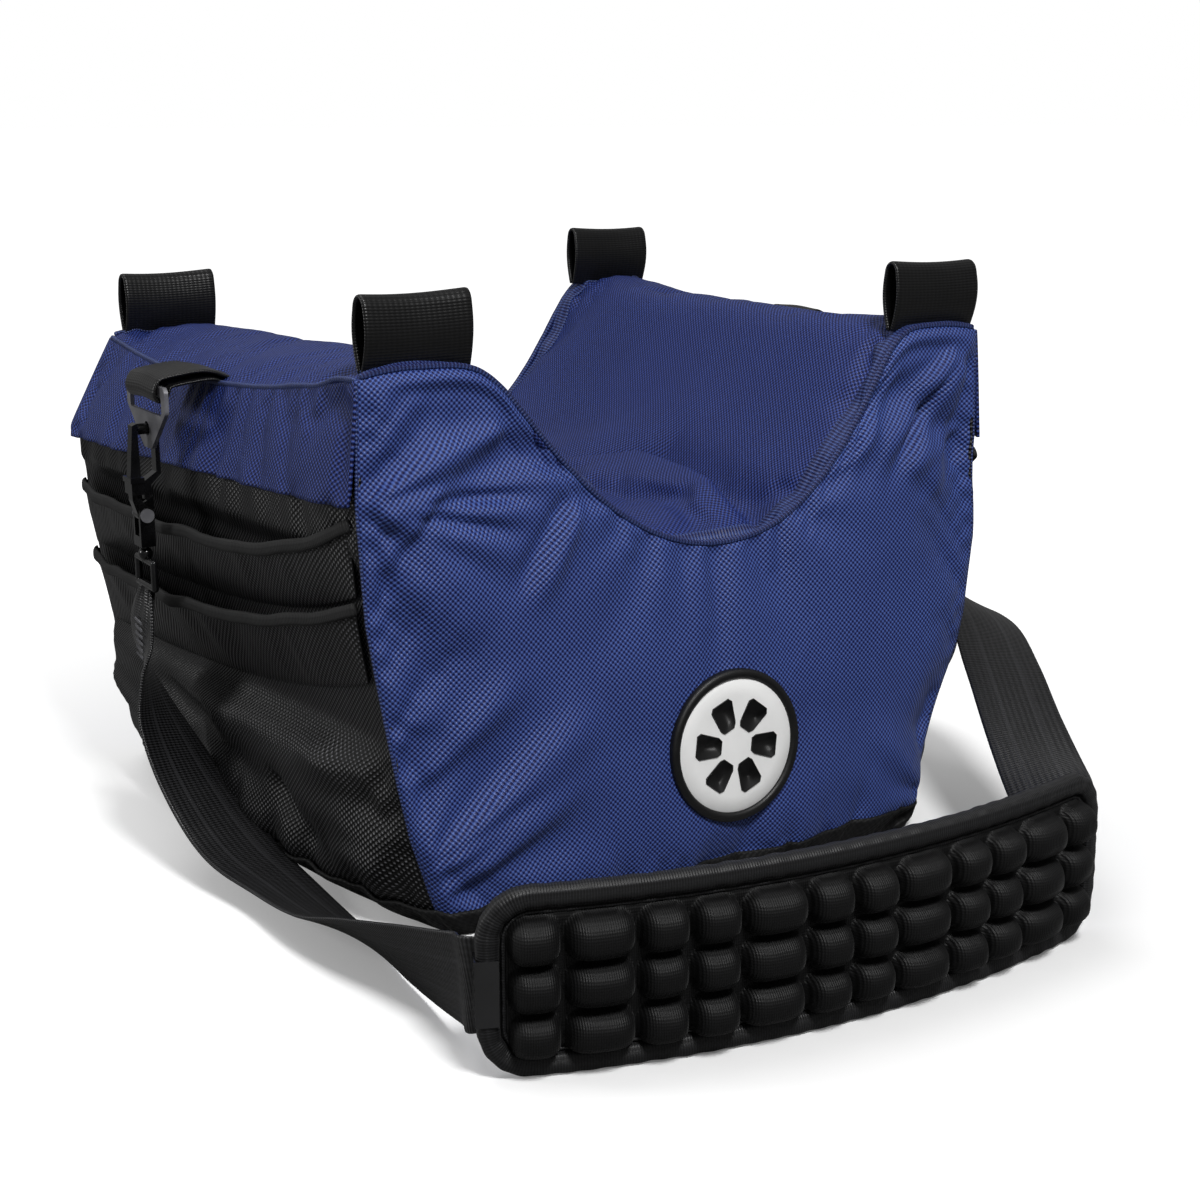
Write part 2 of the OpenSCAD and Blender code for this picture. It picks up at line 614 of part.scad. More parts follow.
front_panel();
rear_panel();
saddle_panel();
shoulder_panel(LEFT);  // left_shoulder_panel
shoulder_panel(RIGHT);  // right_shoulder_panel
side_panel(LEFT);  // left_side_panel
side_panel(RIGHT);  // right_side_panel
base_panel();
bead_core();
pocket(LEFT, "upper");  // left_upper_pocket
pocket(LEFT, "lower");  // left_lower_pocket
pocket(RIGHT, "upper");  // right_upper_pocket
pocket(RIGHT, "lower");  // right_lower_pocket
pocket_binding(LEFT, "upper");  // left_upper_binding
pocket_binding(LEFT, "lower");  // left_lower_binding
pocket_binding(RIGHT, "upper");  // right_upper_binding
pocket_binding(RIGHT, "lower");  // right_lower_binding
corner_loop(LEFT, y_front);  // front_left_loop
corner_loop(LEFT, y_rear);  // rear_left_loop
corner_loop(RIGHT, y_front);  // front_right_loop
corner_loop(RIGHT, y_rear);  // rear_right_loop
tab(LEFT);  // left_tab
tab(RIGHT);  // right_tab
badge_rim();
badge_face();
badge_mark();
ring_plate(LEFT);  // left_ring_plate
ring_plate(RIGHT);  // right_ring_plate
hook_frame(LEFT);  // left_hook_frame
hook_rivet(LEFT);  // left_hook_rivet
gate(LEFT);  // left_gate
gate_spring(LEFT);  // left_gate_spring
swivel(LEFT);  // left_swivel
strap_link(LEFT);  // left_strap_link
hook_frame(RIGHT);  // right_hook_frame
hook_rivet(RIGHT);  // right_hook_rivet
gate(RIGHT);  // right_gate
gate_spring(RIGHT);  // right_gate_spring
swivel(RIGHT);  // right_swivel
strap_link(RIGHT);  // right_strap_link
shoulder_strap();
strap_stitches();
strap_slider();
pad_back();
pad_cells();
pad_binding();
pad_tunnel();
pad_end_guard();
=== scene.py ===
import math

import bmesh
import bpy
import numpy as np
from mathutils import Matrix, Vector, noise


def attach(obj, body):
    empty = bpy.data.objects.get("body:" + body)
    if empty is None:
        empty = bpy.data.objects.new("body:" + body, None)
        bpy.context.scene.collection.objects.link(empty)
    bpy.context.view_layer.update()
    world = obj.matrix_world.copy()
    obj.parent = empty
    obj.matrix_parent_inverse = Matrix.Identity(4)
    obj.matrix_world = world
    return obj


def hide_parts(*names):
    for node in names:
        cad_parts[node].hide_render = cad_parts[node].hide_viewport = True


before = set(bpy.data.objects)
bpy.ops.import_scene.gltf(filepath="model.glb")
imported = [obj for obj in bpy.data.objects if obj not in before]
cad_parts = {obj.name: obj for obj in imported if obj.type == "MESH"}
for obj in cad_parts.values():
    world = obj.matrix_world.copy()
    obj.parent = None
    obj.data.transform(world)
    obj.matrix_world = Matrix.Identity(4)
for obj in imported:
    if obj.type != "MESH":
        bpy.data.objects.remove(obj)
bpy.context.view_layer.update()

MM = 0.001
LEFT, RIGHT = -1, 1
SIDE_NAMES = {LEFT: "left", RIGHT: "right"}

# ---- the bag's outer surface, as the CAD model has it, in millimetres ----

BAG_DEPTH = 306
Y_FRONT, Y_REAR = -BAG_DEPTH / 2, BAG_DEPTH / 2
SEAM_LEVEL = 230
SHOULDER_EDGE = 185
TROUGH_Z, TROUGH_X = 154, 12
# The trough's half width and steepness on each side of its lowest line
LEFT_WIDTH, LEFT_POWER, RIGHT_WIDTH, RIGHT_POWER = 118, 2, 103, 2.3
# How sharply the trough turns into the ridges
RIDGE_SHARPNESS = 9
# Height and half width of the front; height and share of the sides' swelling
FRONT_PROFILE = np.array([
    [0, 132], [6, 138], [15, 143], [45, 151], [85, 158], [140, 166], [190, 169], [250, 167]], float)
SWELL_PROFILE = np.array([[0, 0], [60, 1], [130, 1], [170, 0.4], [250, 0]], float)
SIDE_SWELL, REAR_EXTRA = 3, 20


def along(y):
    """0 at the bag's front and 1 at its rear."""
    return (y - Y_FRONT) / BAG_DEPTH


def side_x(y, z):
    swell = SIDE_SWELL * (1 - (2 * y / BAG_DEPTH) ** 2) * np.interp(z, *SWELL_PROFILE.T)
    lower = np.clip((SEAM_LEVEL - z) / (SEAM_LEVEL - SHOULDER_EDGE), 0, 1)
    return np.interp(z, *FRONT_PROFILE.T) + REAR_EXTRA * along(y) * lower + swell


def saddle_z(x, y):
    """Height of the saddle's surface at (x, y)."""
    near = np.where(x < TROUGH_X, (np.abs(TROUGH_X - x) / LEFT_WIDTH) ** LEFT_POWER,
                    (np.abs(x - TROUGH_X) / RIGHT_WIDTH) ** RIGHT_POWER)
    rise = -np.log(np.exp(-RIDGE_SHARPNESS * near) + math.exp(-RIDGE_SHARPNESS)) / RIDGE_SHARPNESS
    ridge = np.where(x < TROUGH_X, 244 - 11 * along(y), 246 + 2 * along(y))
    edge = np.maximum(0, np.abs(x) - side_x(y, SEAM_LEVEL) + 24) / 24
    roll = (3 + 12 * np.sin(np.pi * along(y))) * edge ** 2
    return TROUGH_Z + (ridge - TROUGH_Z) * rise - roll


def seam_z(side, y):
    return saddle_z(side * side_x(y, SEAM_LEVEL), y)


def flap_edge(y):
    return SHOULDER_EDGE + 5 - 10 * along(y)


# ---- small helpers ----

def smooth(a, b, t):
    k = np.clip((t - a) / (b - a), 0, 1)
    return k * k * (3 - 2 * k)


def from_ends(a, b, t):
    """0 up to a from both ends of t = 0 to 1, and 1 from b on."""
    return np.minimum(smooth(a, b, t), smooth(a, b, 1 - t))


def join(*parts):
    """Points, or cloth coordinates, from one array or number per coordinate."""
    return np.stack(np.broadcast_arrays(*parts), -1)


def unit(v):
    return v / np.maximum(np.linalg.norm(v, axis=-1, keepdims=True), 1e-9)


def run_along(points, axis=0):
    """Distance from the first point along an axis of a grid of points."""
    steps = np.linalg.norm(np.diff(points, axis=axis), axis=-1)
    return np.concatenate([np.zeros_like(np.take(steps, [0], axis)), np.cumsum(steps, axis)], axis)


def wobble(points, size, seed):
    """Smooth noise from -1 to 1 at each point, with features of the given size."""
    shift = Vector((seed * 7.3, seed * 3.1, seed * 5.7))
    flat = np.asarray(points, float).reshape(-1, 3) / size
    return np.array([noise.noise(Vector(p) + shift) for p in flat]).reshape(np.shape(points)[:-1])


# ---- materials ----

def rgb(r, g, b):
    """Linear colour from 0-255 screen values."""
    return tuple((v / 255) ** 2.2 for v in (r, g, b)) + (1,)


def grey(v, blue=0):
    return rgb(v, v, v + blue)


class Shader:
    """A Principled material that is built up node by node."""

    def __init__(self, name, roughness, **sockets):
        self.mat = bpy.data.materials.new(name)
        self.mat.use_nodes = True
        self.nodes, self.links = self.mat.node_tree.nodes, self.mat.node_tree.links
        self.bsdf = self.nodes["Principled BSDF"]
        self.bsdf.inputs["Roughness"].default_value = roughness
        self.bsdf.inputs["Specular IOR Level"].default_value = 0.5
        for socket, value in sockets.items():
            self.bsdf.inputs[socket.replace("_", " ")].default_value = value

    def add(self, kind, **settings):
        made = self.nodes.new("ShaderNode" + kind)
        for key, value in settings.items():
            setattr(made, key, value)
        return made

    def put(self, socket, value):
        if isinstance(value, bpy.types.NodeSocket):
            self.links.new(value, socket)
        else:
            socket.default_value = value

    def math(self, what, *values):
        made = self.add("Math", operation=what)
        for socket, value in zip(made.inputs, values):
            self.put(socket, value)
        return made.outputs[0]

    def times(self, a, b):
        return self.math("MULTIPLY", a, b)

    def half_up(self, value):
        """Brings -1 to 1 into 0 to 1."""
        return self.math("MULTIPLY_ADD", value, 0.5, 0.5)

    def wave(self, angle):
        return self.half_up(self.math("SINE", angle))

    def object_place(self):
        return self.add("TexCoord").outputs["Object"]

    def cloth_place(self, scale):
        """The two sockets of the cloth's own coordinates, times scale."""
        split = self.add("SeparateXYZ")
        self.links.new(self.add("UVMap", uv_map="Cloth").outputs[0], split.inputs[0])
        return [self.times(socket, scale) for socket in split.outputs[:2]]

    def noise(self, scale, detail=2):
        made = self.add("TexNoise")
        self.links.new(self.object_place(), made.inputs["Vector"])
        made.inputs["Scale"].default_value = scale
        made.inputs["Detail"].default_value = detail
        return made.outputs["Fac"]

    def ramp(self, value, *stops):
        made = self.add("ValToRGB")
        self.links.new(value, made.inputs[0])
        for stop, (place, colour) in zip(made.color_ramp.elements, stops):
            stop.position, stop.color = place, colour
        return made.outputs[0]

    def span(self, value, start, end, low=0.0, high=1.0):
        """Turns start to end into low to high."""
        made = self.add("MapRange")
        self.links.new(value, made.inputs["Value"])
        for socket, number in zip(made.inputs[1:5], (start, end, low, high)):
            socket.default_value = number
        return made.outputs[0]

    def mix(self, share, a, b):
        made = self.add("Mix", data_type="RGBA")
        for socket, value in ((0, share), (6, a), (7, b)):
            self.put(made.inputs[socket], value)
        return made.outputs[2]

    def bump(self, height, strength, distance):
        made = self.add("Bump")
        self.links.new(height, made.inputs["Height"])
        made.inputs["Strength"].default_value = strength
        made.inputs["Distance"].default_value = distance
        self.links.new(made.outputs[0], self.bsdf.inputs["Normal"])

    def colour(self, value):
        self.put(self.bsdf.inputs["Base Color"], value)

    def faded(self, face, dark, scale, share):
        """The face's colour, darker in soft patches."""
        self.colour(self.mix(self.times(self.noise(scale, 3), share), face, dark))

    def rough(self, value, low, high):
        self.put(self.bsdf.inputs["Roughness"], self.span(value, 0.0, 1.0, low, high))


# How deep a thread's bump is, as a share of the weave's pitch
THREAD_DEPTH = 0.35


def woven(name, dark, light, pitch, roughness, strength, sheen, spread=(0.12, 0.9)):
    """Plain weave: threads in two directions that pass over and under each other."""
    s = Shader(name, roughness, Sheen_Weight=sheen, Sheen_Roughness=0.4, Specular_IOR_Level=0.3)
    u, v = s.cloth_place(math.pi / pitch)
    height = s.half_up(s.times(s.math("SINE", u), s.math("SINE", v)))
    s.faded(s.ramp(height, (spread[0], dark), (spread[1], light)), dark, 35, 0.25)
    s.rough(height, roughness + 0.12, roughness - 0.06)
    s.bump(height, strength, pitch * THREAD_DEPTH)
    return s.mat


def ribbed(name, dark, light, pitch, roughness, strength, stripes=()):
    """Webbing: fine ribs, with a few lighter lines along it at the given places in its width."""
    s = Shader(name, roughness, Sheen_Weight=0.02, Specular_IOR_Level=0.35)
    u, v = s.cloth_place(1)
    rib = s.wave(s.times(v, 2 * math.pi / pitch))
    thread = s.wave(s.times(u, math.pi / pitch))
    height = s.math("MULTIPLY_ADD", thread, 0.35, s.times(rib, 0.65))
    face = s.ramp(height, (0.2, dark), (1.0, light))
    for place in stripes:
        off = s.math("ABSOLUTE", s.math("SUBTRACT", u, place))
        face = s.mix(s.times(s.math("LESS_THAN", off, 0.0011), 0.5), face, light)
    s.faded(face, dark, 60, 0.4)
    s.rough(s.noise(90, 2), roughness - 0.07, roughness + 0.07)
    s.bump(height, strength, pitch * 0.3)
    return s.mat


def black_cloth(name, dark, painted_glint, rib_light, pitch):
    """Coarse black cloth: near the front seam its threads show bright dots of painted highlight,
    and further back they show as fine slanting ribs."""
    s = Shader(name, 0.42, Specular_IOR_Level=0.35)
    u, v = s.cloth_place(math.pi / pitch)
    dots = s.half_up(s.times(s.math("SINE", u), s.math("SINE", v)))
    ribs = s.wave(s.math("ADD", u, v))
    split = s.add("SeparateXYZ")
    s.links.new(s.object_place(), split.inputs[0])
    back = s.span(split.outputs[1], -0.08, 0.03)
    # The dots' bright colour is painted highlight: light caught on the threads near the front
    face = s.mix(back, s.ramp(dots, (0.68, dark), (0.98, painted_glint)),
                 s.ramp(ribs, (0.3, dark), (1.0, rib_light)))
    s.faded(face, dark, 26, 0.5)
    height = s.math("ADD", s.times(ribs, back), s.times(dots, s.math("SUBTRACT", 1, back)))
    s.rough(height, 0.55, 0.3)
    s.bump(height, 1.0, pitch * THREAD_DEPTH)
    return s.mat


def knit(name, dark, light, pitch, roughness):
    """Fine knit: narrow upright ribs of stitches."""
    s = Shader(name, roughness, Sheen_Weight=0.04, Sheen_Roughness=0.3, Specular_IOR_Level=0.25)
    u, v = s.cloth_place(2 * math.pi / pitch)
    stitch = s.wave(s.times(v, 0.8))
    height = s.math("MULTIPLY_ADD", stitch, 0.3, s.times(s.wave(u), 0.7))
    s.faded(s.ramp(height, (0.2, dark), (1.0, light)), dark, 45, 0.5)
    s.rough(s.noise(120, 2), roughness - 0.06, roughness + 0.1)
    s.bump(height, 0.5, pitch * THREAD_DEPTH)
    return s.mat


def hard(name, body, worn, roughness, metallic=0.0, grain=0.12, coat=0.0):
    """Metal or moulded plastic with a fine grain, patches of wear and uneven gloss."""
    s = Shader(name, roughness, Metallic=metallic, Coat_Weight=coat)
    s.colour(s.ramp(s.noise(70, 5), (0.35, body), (0.75, worn)))
    s.rough(s.noise(160, 3), roughness - 0.08, roughness + 0.14)
    s.bump(s.noise(2600, 2), grain, 0.05 * MM)
    return s.mat


BLUE = woven("blue_nylon", rgb(15, 9, 66), rgb(78, 103, 174), 1.2 * MM, 0.46, 1.0, 0.04,
             spread=(0.2, 0.86))
# A darker copy of the same blue nylon for the shoulder flaps and the saddle: painted shade that
# keeps these upward faces as dark as the front
BLUE_TOP_SHADED = woven("blue_nylon_top_painted_shade", rgb(8, 6, 54), rgb(56, 76, 146), 1.2 * MM, 0.48, 1.0, 0.0,
                  spread=(0.25, 0.9))
BLUE_TAPE = ribbed("blue_seam_tape", rgb(16, 14, 60), rgb(66, 86, 142), 1.7 * MM, 0.5, 0.9)
# Grey 112 is the colour of the painted highlight dots on the black sides
SIDE_CLOTH = black_cloth("black_cloth", grey(1), grey(112, 4), grey(40, 2), 1.3 * MM)
BASE = woven("base_fabric", grey(4), grey(20, 1), 1.5 * MM, 0.65, 0.4, 0.02)
TAPE = ribbed("binding_tape", grey(5), grey(22, 1), 1.2 * MM, 0.65, 0.5)
WEB = ribbed("webbing", grey(4), grey(26, 1), 1.2 * MM, 0.36, 0.4)
WEB_STRAP = ribbed("strap_webbing", grey(4), grey(50, 2), 1.4 * MM, 0.33, 0.6,
                   stripes=(0.0115, 0.0265))
KNIT = knit("pad_knit", grey(5), grey(24, 1), 0.9 * MM, 0.55)
TRIM = ribbed("pad_edge_tape", grey(5), grey(40, 2), 1.1 * MM, 0.5, 0.5)
RUBBER = hard("badge_black", grey(8), grey(16), 0.5)
WHITE = hard("badge_white", grey(242, -1), grey(250, -1), 0.4, grain=0.05)
STEEL = hard("gunmetal", grey(104, 4), grey(142, 4), 0.36, metallic=0.45)
DARK_STEEL = hard("black_metal", grey(14, 1), grey(34, 2), 0.22, metallic=0.55, coat=0.3)
SPRING = hard("spring_steel", grey(170, 2), grey(200, 2), 0.3, metallic=1.0)
THREAD = hard("grey_thread", grey(70, 4), grey(104, 4), 0.7, grain=0.5)
PLASTIC = hard("slider_plastic", grey(10, 1), grey(24, 1), 0.42)
GLOSSY = hard("pad_edge_trim", grey(8, 1), grey(24, 2), 0.2, coat=0.5)


# ---- mesh helpers ----

def add_object(name, data):
    obj = bpy.data.objects.new(name, data)
    bpy.context.scene.collection.objects.link(obj)
    return obj


def finish_piece(obj, body, material, nodes=()):
    obj.data.materials.append(material)
    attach(obj, body)
    if nodes:
        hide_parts(*nodes)
    return obj


def mesh_object(name, points, faces, uvs=None):
    """A smooth-shaded mesh from points in millimetres, with one cloth coordinate pair per point."""
    mesh = bpy.data.meshes.new(name)
    mesh.from_pydata((np.asarray(points, float) * MM).tolist(), [], faces)
    mesh.shade_smooth()
    if uvs is not None:
        layer = mesh.uv_layers.new(name="Cloth")
        corner = np.empty(len(mesh.loops), int)
        mesh.loops.foreach_get("vertex_index", corner)
        layer.data.foreach_set("uv", (np.asarray(uvs, float)[corner] * MM).ravel())
    return add_object(name, mesh)


def edit_mesh(obj, change):
    bm = bmesh.new()
    bm.from_mesh(obj.data)
    change(bm)
    bm.to_mesh(obj.data)
    bm.free()


def subdivide(obj):
    sub = obj.modifiers.new("smooth", "SUBSURF")
    sub.levels = sub.render_levels = 1


def grid_faces(n, m, closed=False, turned=False, start=0):
    faces = []
    for i in range(n - 1):
        for j in range(m if closed else m - 1):
            k = (j + 1) % m
            face = (start + i * m + j, start + (i + 1) * m + j, start + (i + 1) * m + k,
                    start + i * m + k)
            faces.append(face[::-1] if turned else face)
    return faces


def grid_piece(name, grid, uv, thickness, turned=False, smoothed=True, offset=-1.0):
    """A sheet from an (n, m, 3) grid of points, with its thickness inwards from the grid."""
    n, m = grid.shape[:2]
    obj = mesh_object(name, grid.reshape(-1, 3), grid_faces(n, m, turned=turned), uv.reshape(-1, 2))
    solid = obj.modifiers.new("thickness", "SOLIDIFY")
    solid.thickness, solid.offset = thickness * MM, offset
    if smoothed:
        subdivide(obj)
    return obj


def catmull_rom(a, b, c, d, t):
    """The point at t = 0 to 1 between b and c."""
    return 0.5 * (2 * b + (c - a) * t + (2 * a - 5 * b + 4 * c - d) * t * t
                  + (3 * b - a - 3 * c + d) * t ** 3)


def resample(path, count):
    """A Catmull-Rom curve through the rows of path, at count places spaced evenly by length."""
    rows = np.asarray(path, float)
    padded = np.vstack([2 * rows[0] - rows[1], rows, 2 * rows[-1] - rows[-2]])
    fine = []
    for i in range(1, len(padded) - 2):
        a, b, c, d = padded[i - 1:i + 3]
        for t in np.linspace(0, 1, 12, endpoint=False):
            fine.append(catmull_rom(a, b, c, d, t))
    fine = np.array(fine + [rows[-1]])
    run = run_along(fine[:, :3])
    at = np.linspace(0, run[-1], count)
    return join(*(np.interp(at, run, fine[:, k]) for k in range(fine.shape[1]))), at


def sweep(name, path, out, profile, closed=False):
    """Sweeps a closed profile of (outwards, upwards) offsets along a path; out is the outward
    direction, for the whole path or for each point."""
    path = np.asarray(path, float)
    out = unit(np.broadcast_to(np.asarray(out, float), path.shape))
    if closed:
        ahead = unit(np.roll(path, -1, 0) - np.roll(path, 1, 0))
    else:
        ahead = unit(np.gradient(path, axis=0))
    out = unit(out - ahead * np.sum(out * ahead, 1, keepdims=True))
    up = np.cross(ahead, out)
    rings = path[:, None] + profile[..., :1] * out[:, None] + profile[..., 1:2] * up[:, None]
    n, m = rings.shape[:2]
    faces = grid_faces(n, m, closed=True)
    if closed:
        faces += [((n - 1) * m + j, j, (j + 1) % m, (n - 1) * m + (j + 1) % m) for j in range(m)]
    else:
        faces += [tuple(range(m)), tuple(range((n - 1) * m, n * m))[::-1]]
    uv = join(run_along(profile[0])[None], run_along(path)[:, None])
    obj = mesh_object(name, rings.reshape(-1, 3), faces, uv.reshape(-1, 2))
    edit_mesh(obj, lambda bm: bmesh.ops.recalc_face_normals(bm, faces=bm.faces))
    subdivide(obj)
    return obj


def oval(width, height, sides=10, power=0.8):
    """A rounded profile of the given whole width (outwards) and height (upwards)."""
    a = np.linspace(0, 2 * np.pi, sides, endpoint=False)
    shape = join(*(np.sign(f(a)) * np.abs(f(a)) ** power for f in (np.cos, np.sin)))
    return shape * [width / 2, height / 2]


def uneven(profile, scale):
    """The profile once for each number in scale, larger or smaller by it."""
    return profile[None] * scale[:, None, None]


# ---- the cover: six grids that share their seams ----

ACROSS, DEEP = 60, 56
LOW_ROWS, HIGH_ROWS = 30, 10
ys = np.linspace(Y_FRONT, Y_REAR, DEEP + 1)
from_left = np.linspace(0, 1, ACROSS + 1)


def levels(side, y):
    """Heights of the rows at y: up to the flap's edge, and from there to the ridge seam."""
    edge = flap_edge(y)
    low = np.linspace(0, 1, LOW_ROWS + 1) * edge
    high = edge + np.linspace(0, 1, HIGH_ROWS + 1)[1:] * (seam_z(side, y) - edge)
    return np.concatenate([low, high])


def side_grid(side):
    z = np.stack([levels(side, y) for y in ys])
    return join(side * side_x(ys[:, None], z), ys[:, None], z)


def end_grid(y):
    zl, zr = levels(LEFT, y), levels(RIGHT, y)
    t = from_left[:, None]
    x = -side_x(y, zl) * (1 - t) + side_x(y, zr) * t
    base = zl * (1 - t) + zr * t
    top = saddle_z(x[:, -1], y)
    return join(x, y, base * (top / base[:, -1])[:, None])


def saddle_grid():
    zl, zr = (np.array([levels(side, y)[-1] for y in ys]) for side in (LEFT, RIGHT))
    x = -side_x(ys, zl)[:, None] * (1 - from_left) + side_x(ys, zr)[:, None] * from_left
    z = saddle_z(x, ys[:, None])
    z[:, 0], z[:, -1] = zl, zr
    return join(x, ys[:, None], z)


def base_grid():
    return join(side_x(ys, 0)[:, None] * (2 * from_left - 1), ys[:, None], 0.0)


grids = {
    "left": side_grid(LEFT), "right": side_grid(RIGHT),
    "front": end_grid(Y_FRONT), "rear": end_grid(Y_REAR),
    "saddle": saddle_grid(), "base": base_grid(),
}
# Which way round each grid's faces go for their normals to point outwards
TURNED = {"left": True, "right": False, "front": False, "rear": True, "saddle": True, "base": False}
OUTWARD = {"left": (-1, 0, 0), "right": (1, 0, 0), "front": (0, -1, 0), "rear": (0, 1, 0),
           "saddle": (0, 0, 1), "base": (0, 0, -1)}
# Most that each part of the stuffed cover may move, in millimetres
MOST = {"left": 6.0, "right": 6.0, "front": 9.0, "rear": 9.0, "saddle": 5.0, "base": 1e-6}
CLOTH = {
    "quality": 6, "mass": 0.4, "tension_stiffness": 18, "compression_stiffness": 18,
    "shear_stiffness": 8, "bending_stiffness": 0.6, "use_pressure": True,
    "uniform_pressure_force": 4, "shrink_min": -0.03, "vertex_group_mass": "held",
    "pin_stiffness": 5}
CLOTH_FRAMES = 18


def simulate_cover():
    """Fills the closed cover with pressure, its seams held, and returns how the points moved."""
    stacked = np.concatenate([grid.reshape(-1, 3) for grid in grids.values()])
    _, first, index = np.unique(np.round(stacked, 2), axis=0, return_index=True,
                                return_inverse=True)
    index = index.reshape(-1)
    points = stacked[first]
    faces, local, start, held = [], {}, 0, np.zeros(len(points), bool)
    for name, grid in grids.items():
        n, m = grid.shape[:2]
        faces += [tuple(index[list(f)]) for f in grid_faces(n, m, turned=TURNED[name], start=start)]
        at = local[name] = index[start:start + n * m].reshape(n, m)
        for seam in (at[0], at[-1], at[:, 0], at[:, -1]) + ((at,) if name == "base" else ()):
            held[seam] = True
        start += n * m
    body = mesh_object("cover_trial", points, faces)
    body.vertex_groups.new(name="held").add(np.flatnonzero(held).tolist(), 1.0, "REPLACE")
    cloth = body.modifiers.new("cloth", "CLOTH")
    for key, value in CLOTH.items():
        setattr(cloth.settings, key, value)
    cloth.settings.effector_weights.gravity = 0
    cloth.point_cache.frame_start, cloth.point_cache.frame_end = 1, CLOTH_FRAMES
    for f in range(1, CLOTH_FRAMES + 1):
        bpy.context.scene.frame_set(f)
    view = body.evaluated_get(bpy.context.evaluated_depsgraph_get())
    moved = np.empty(len(points) * 3)
    view.data.vertices.foreach_get("co", moved)
    moved = moved.reshape(-1, 3) / MM - points
    bpy.context.scene.frame_set(1)
    bpy.data.objects.remove(body, do_unlink=True)
    return {name: moved[at] for name, at in local.items()}


moves = simulate_cover()
for name, moved in moves.items():
    size = np.linalg.norm(moved, axis=-1, keepdims=True)
    moved *= MOST[name] * np.tanh(size / MOST[name]) / np.maximum(size, 1e-9)
# The rear skin keeps behind the black sides' rear edges
moves["rear"] = moves["rear"] * from_ends(0, 0.25, from_left)[:, None, None]

FINER = 3


def finer(grid):
    """The same surface with FINER times as many cells each way, along Catmull-Rom curves."""
    for axis in (0, 1):
        g = np.moveaxis(grid, axis, 0)
        padded = np.concatenate([2 * g[:1] - g[1:2], g, 2 * g[-1:] - g[-2:-1]])[:, None]
        t = (np.arange(FINER) / FINER)[None, :, None, None]
        fine = catmull_rom(padded[:-3], padded[1:-2], padded[2:-1], padded[3:], t)
        fine = np.concatenate([fine.reshape(-1, *g.shape[1:]), g[-1:]])
        grid = np.moveaxis(fine, 0, axis)
    return grid


grids = {name: finer(grid) for name, grid in grids.items()}
moves = {name: finer(moved) for name, moved in moves.items()}
ACROSS, DEEP, LOW_ROWS, HIGH_ROWS = (FINER * n for n in (ACROSS, DEEP, LOW_ROWS, HIGH_ROWS))
from_left = np.linspace(0, 1, ACROSS + 1)

# ---- folds and swellings of the sewn and filled cloth ----


def fan(flat, centre, reach, height, ridges, seed):
    """Creases that spread out from a point where the sewing gathers the cloth."""
    off = flat - np.array(centre, float)
    r, turn = np.hypot(off[..., 0], off[..., 1]), np.arctan2(off[..., 1], off[..., 0])
    crease = wobble(join(np.cos(turn) * ridges, np.sin(turn) * ridges, r / 70), 1, seed)
    return height * crease * smooth(2, 22, r) * (1 - smooth(reach * 0.45, reach, r))


def swelling(flat, centre, size, height):
    off = (flat - np.array(centre, float)) / size
    return height * np.exp(-np.sum(off * off, -1))


def ridge_fold(flat, a, b, width, height):
    """Height of a soft fold that runs from a to b across two flat coordinates and widens."""
    a, b = np.array(a, float), np.array(b, float)
    d = b - a
    t = ((flat - a) @ d) / (d @ d)
    off = (flat[..., 0] - a[0]) * d[1] - (flat[..., 1] - a[1]) * d[0]
    w = width * (0.5 + t.clip(0, 1) * 0.85)
    fade = smooth(-0.12, 0.12, t) * (1 - smooth(0.55, 1.05, t))
    return height * fade * np.exp(-(off / np.linalg.norm(d) / w) ** 2)


# Folds of the front panel: start and end as (x, z), half width, height
FRONT_FOLDS = [
    ((-160, 189), (-80, 178), 5, 3.4), ((-160, 189), (-60, 196), 6, 2.8),
    ((-160, 188), (-95, 160), 6, 2.6), ((-160, 188), (-110, 140), 7, 2.2),
    ((-161, 192), (-120, 214), 5, 2.0), ((-160, 189), (-85, 187), 3, -2.6),
    ((-160, 189), (-92, 169), 3, -2.0), ((158, 238), (96, 176), 6, 3.6),
    ((160, 234), (112, 158), 6, 3.0), ((160, 226), (130, 150), 6, 2.4),
    ((158, 238), (104, 168), 3.4, -2.4), ((120, 236), (78, 168), 5, 2.2),
    ((162, 196), (112, 176), 6, 2.2), ((-140, 34), (-60, 92), 8, 4.4),
    ((-138, 22), (-70, 62), 6, 3.2), ((-140, 36), (-84, 66), 4, -2.6),
    ((-146, 70), (-90, 118), 8, 2.2), ((140, 24), (88, 60), 8, 2.0),
    ((-64, 182), (-92, 136), 5, 2.4), ((-74, 182), (-102, 142), 5, -2.0),
    ((-100, 216), (-150, 200), 7, 2.4),
]
# Where the front's cloth is gathered: centre as (x, z), reach, height, number of ridges
FRONT_FANS = [((-170, 191), 125, 6.5, 2.6), ((165, 244), 140, 6.0, 2.8),
              ((-150, 26), 125, 7.0, 2.4), ((150, 16), 95, 4.5, 2.4)]
FOLD_GAIN, DEEPEST_FOLD, REAR_FOLDS = 1.8, 6, 0.7
# Folds low on the sides: start and end as (y, z), half width, height
SIDE_FOLDS = [((147, 56), (-140, 4), 9, 5.5), ((60, 70), (-84, 40), 9, -5.5),
              ((-62, 52), (-104, 14), 9, -5.0)]
# Swellings between them: centre as (y, z), size, height
SIDE_SWELLINGS = [((-18, 60), 20, 5.0), ((-114, 76), 20, 6.0), ((-132, 22), 16, 5.0)]
# Folds of the saddle: start and end as (x, y), half width, height
SADDLE_FOLDS = [((20, 120), (92, -60), 12, 2.8), ((-40, 110), (30, -60), 12, 2.2)]
# The saddle's floor rises to this line, as (y, x), and drops behind it
CREASE = np.array([[-137, 34], [-84, 42], [-34, 46], [18, 19], [90, -20]], float)
CREASE_HEIGHT, CREASE_RISE, CREASE_DROP = 13, 80, 11
SAG = 22
BELLY = 13


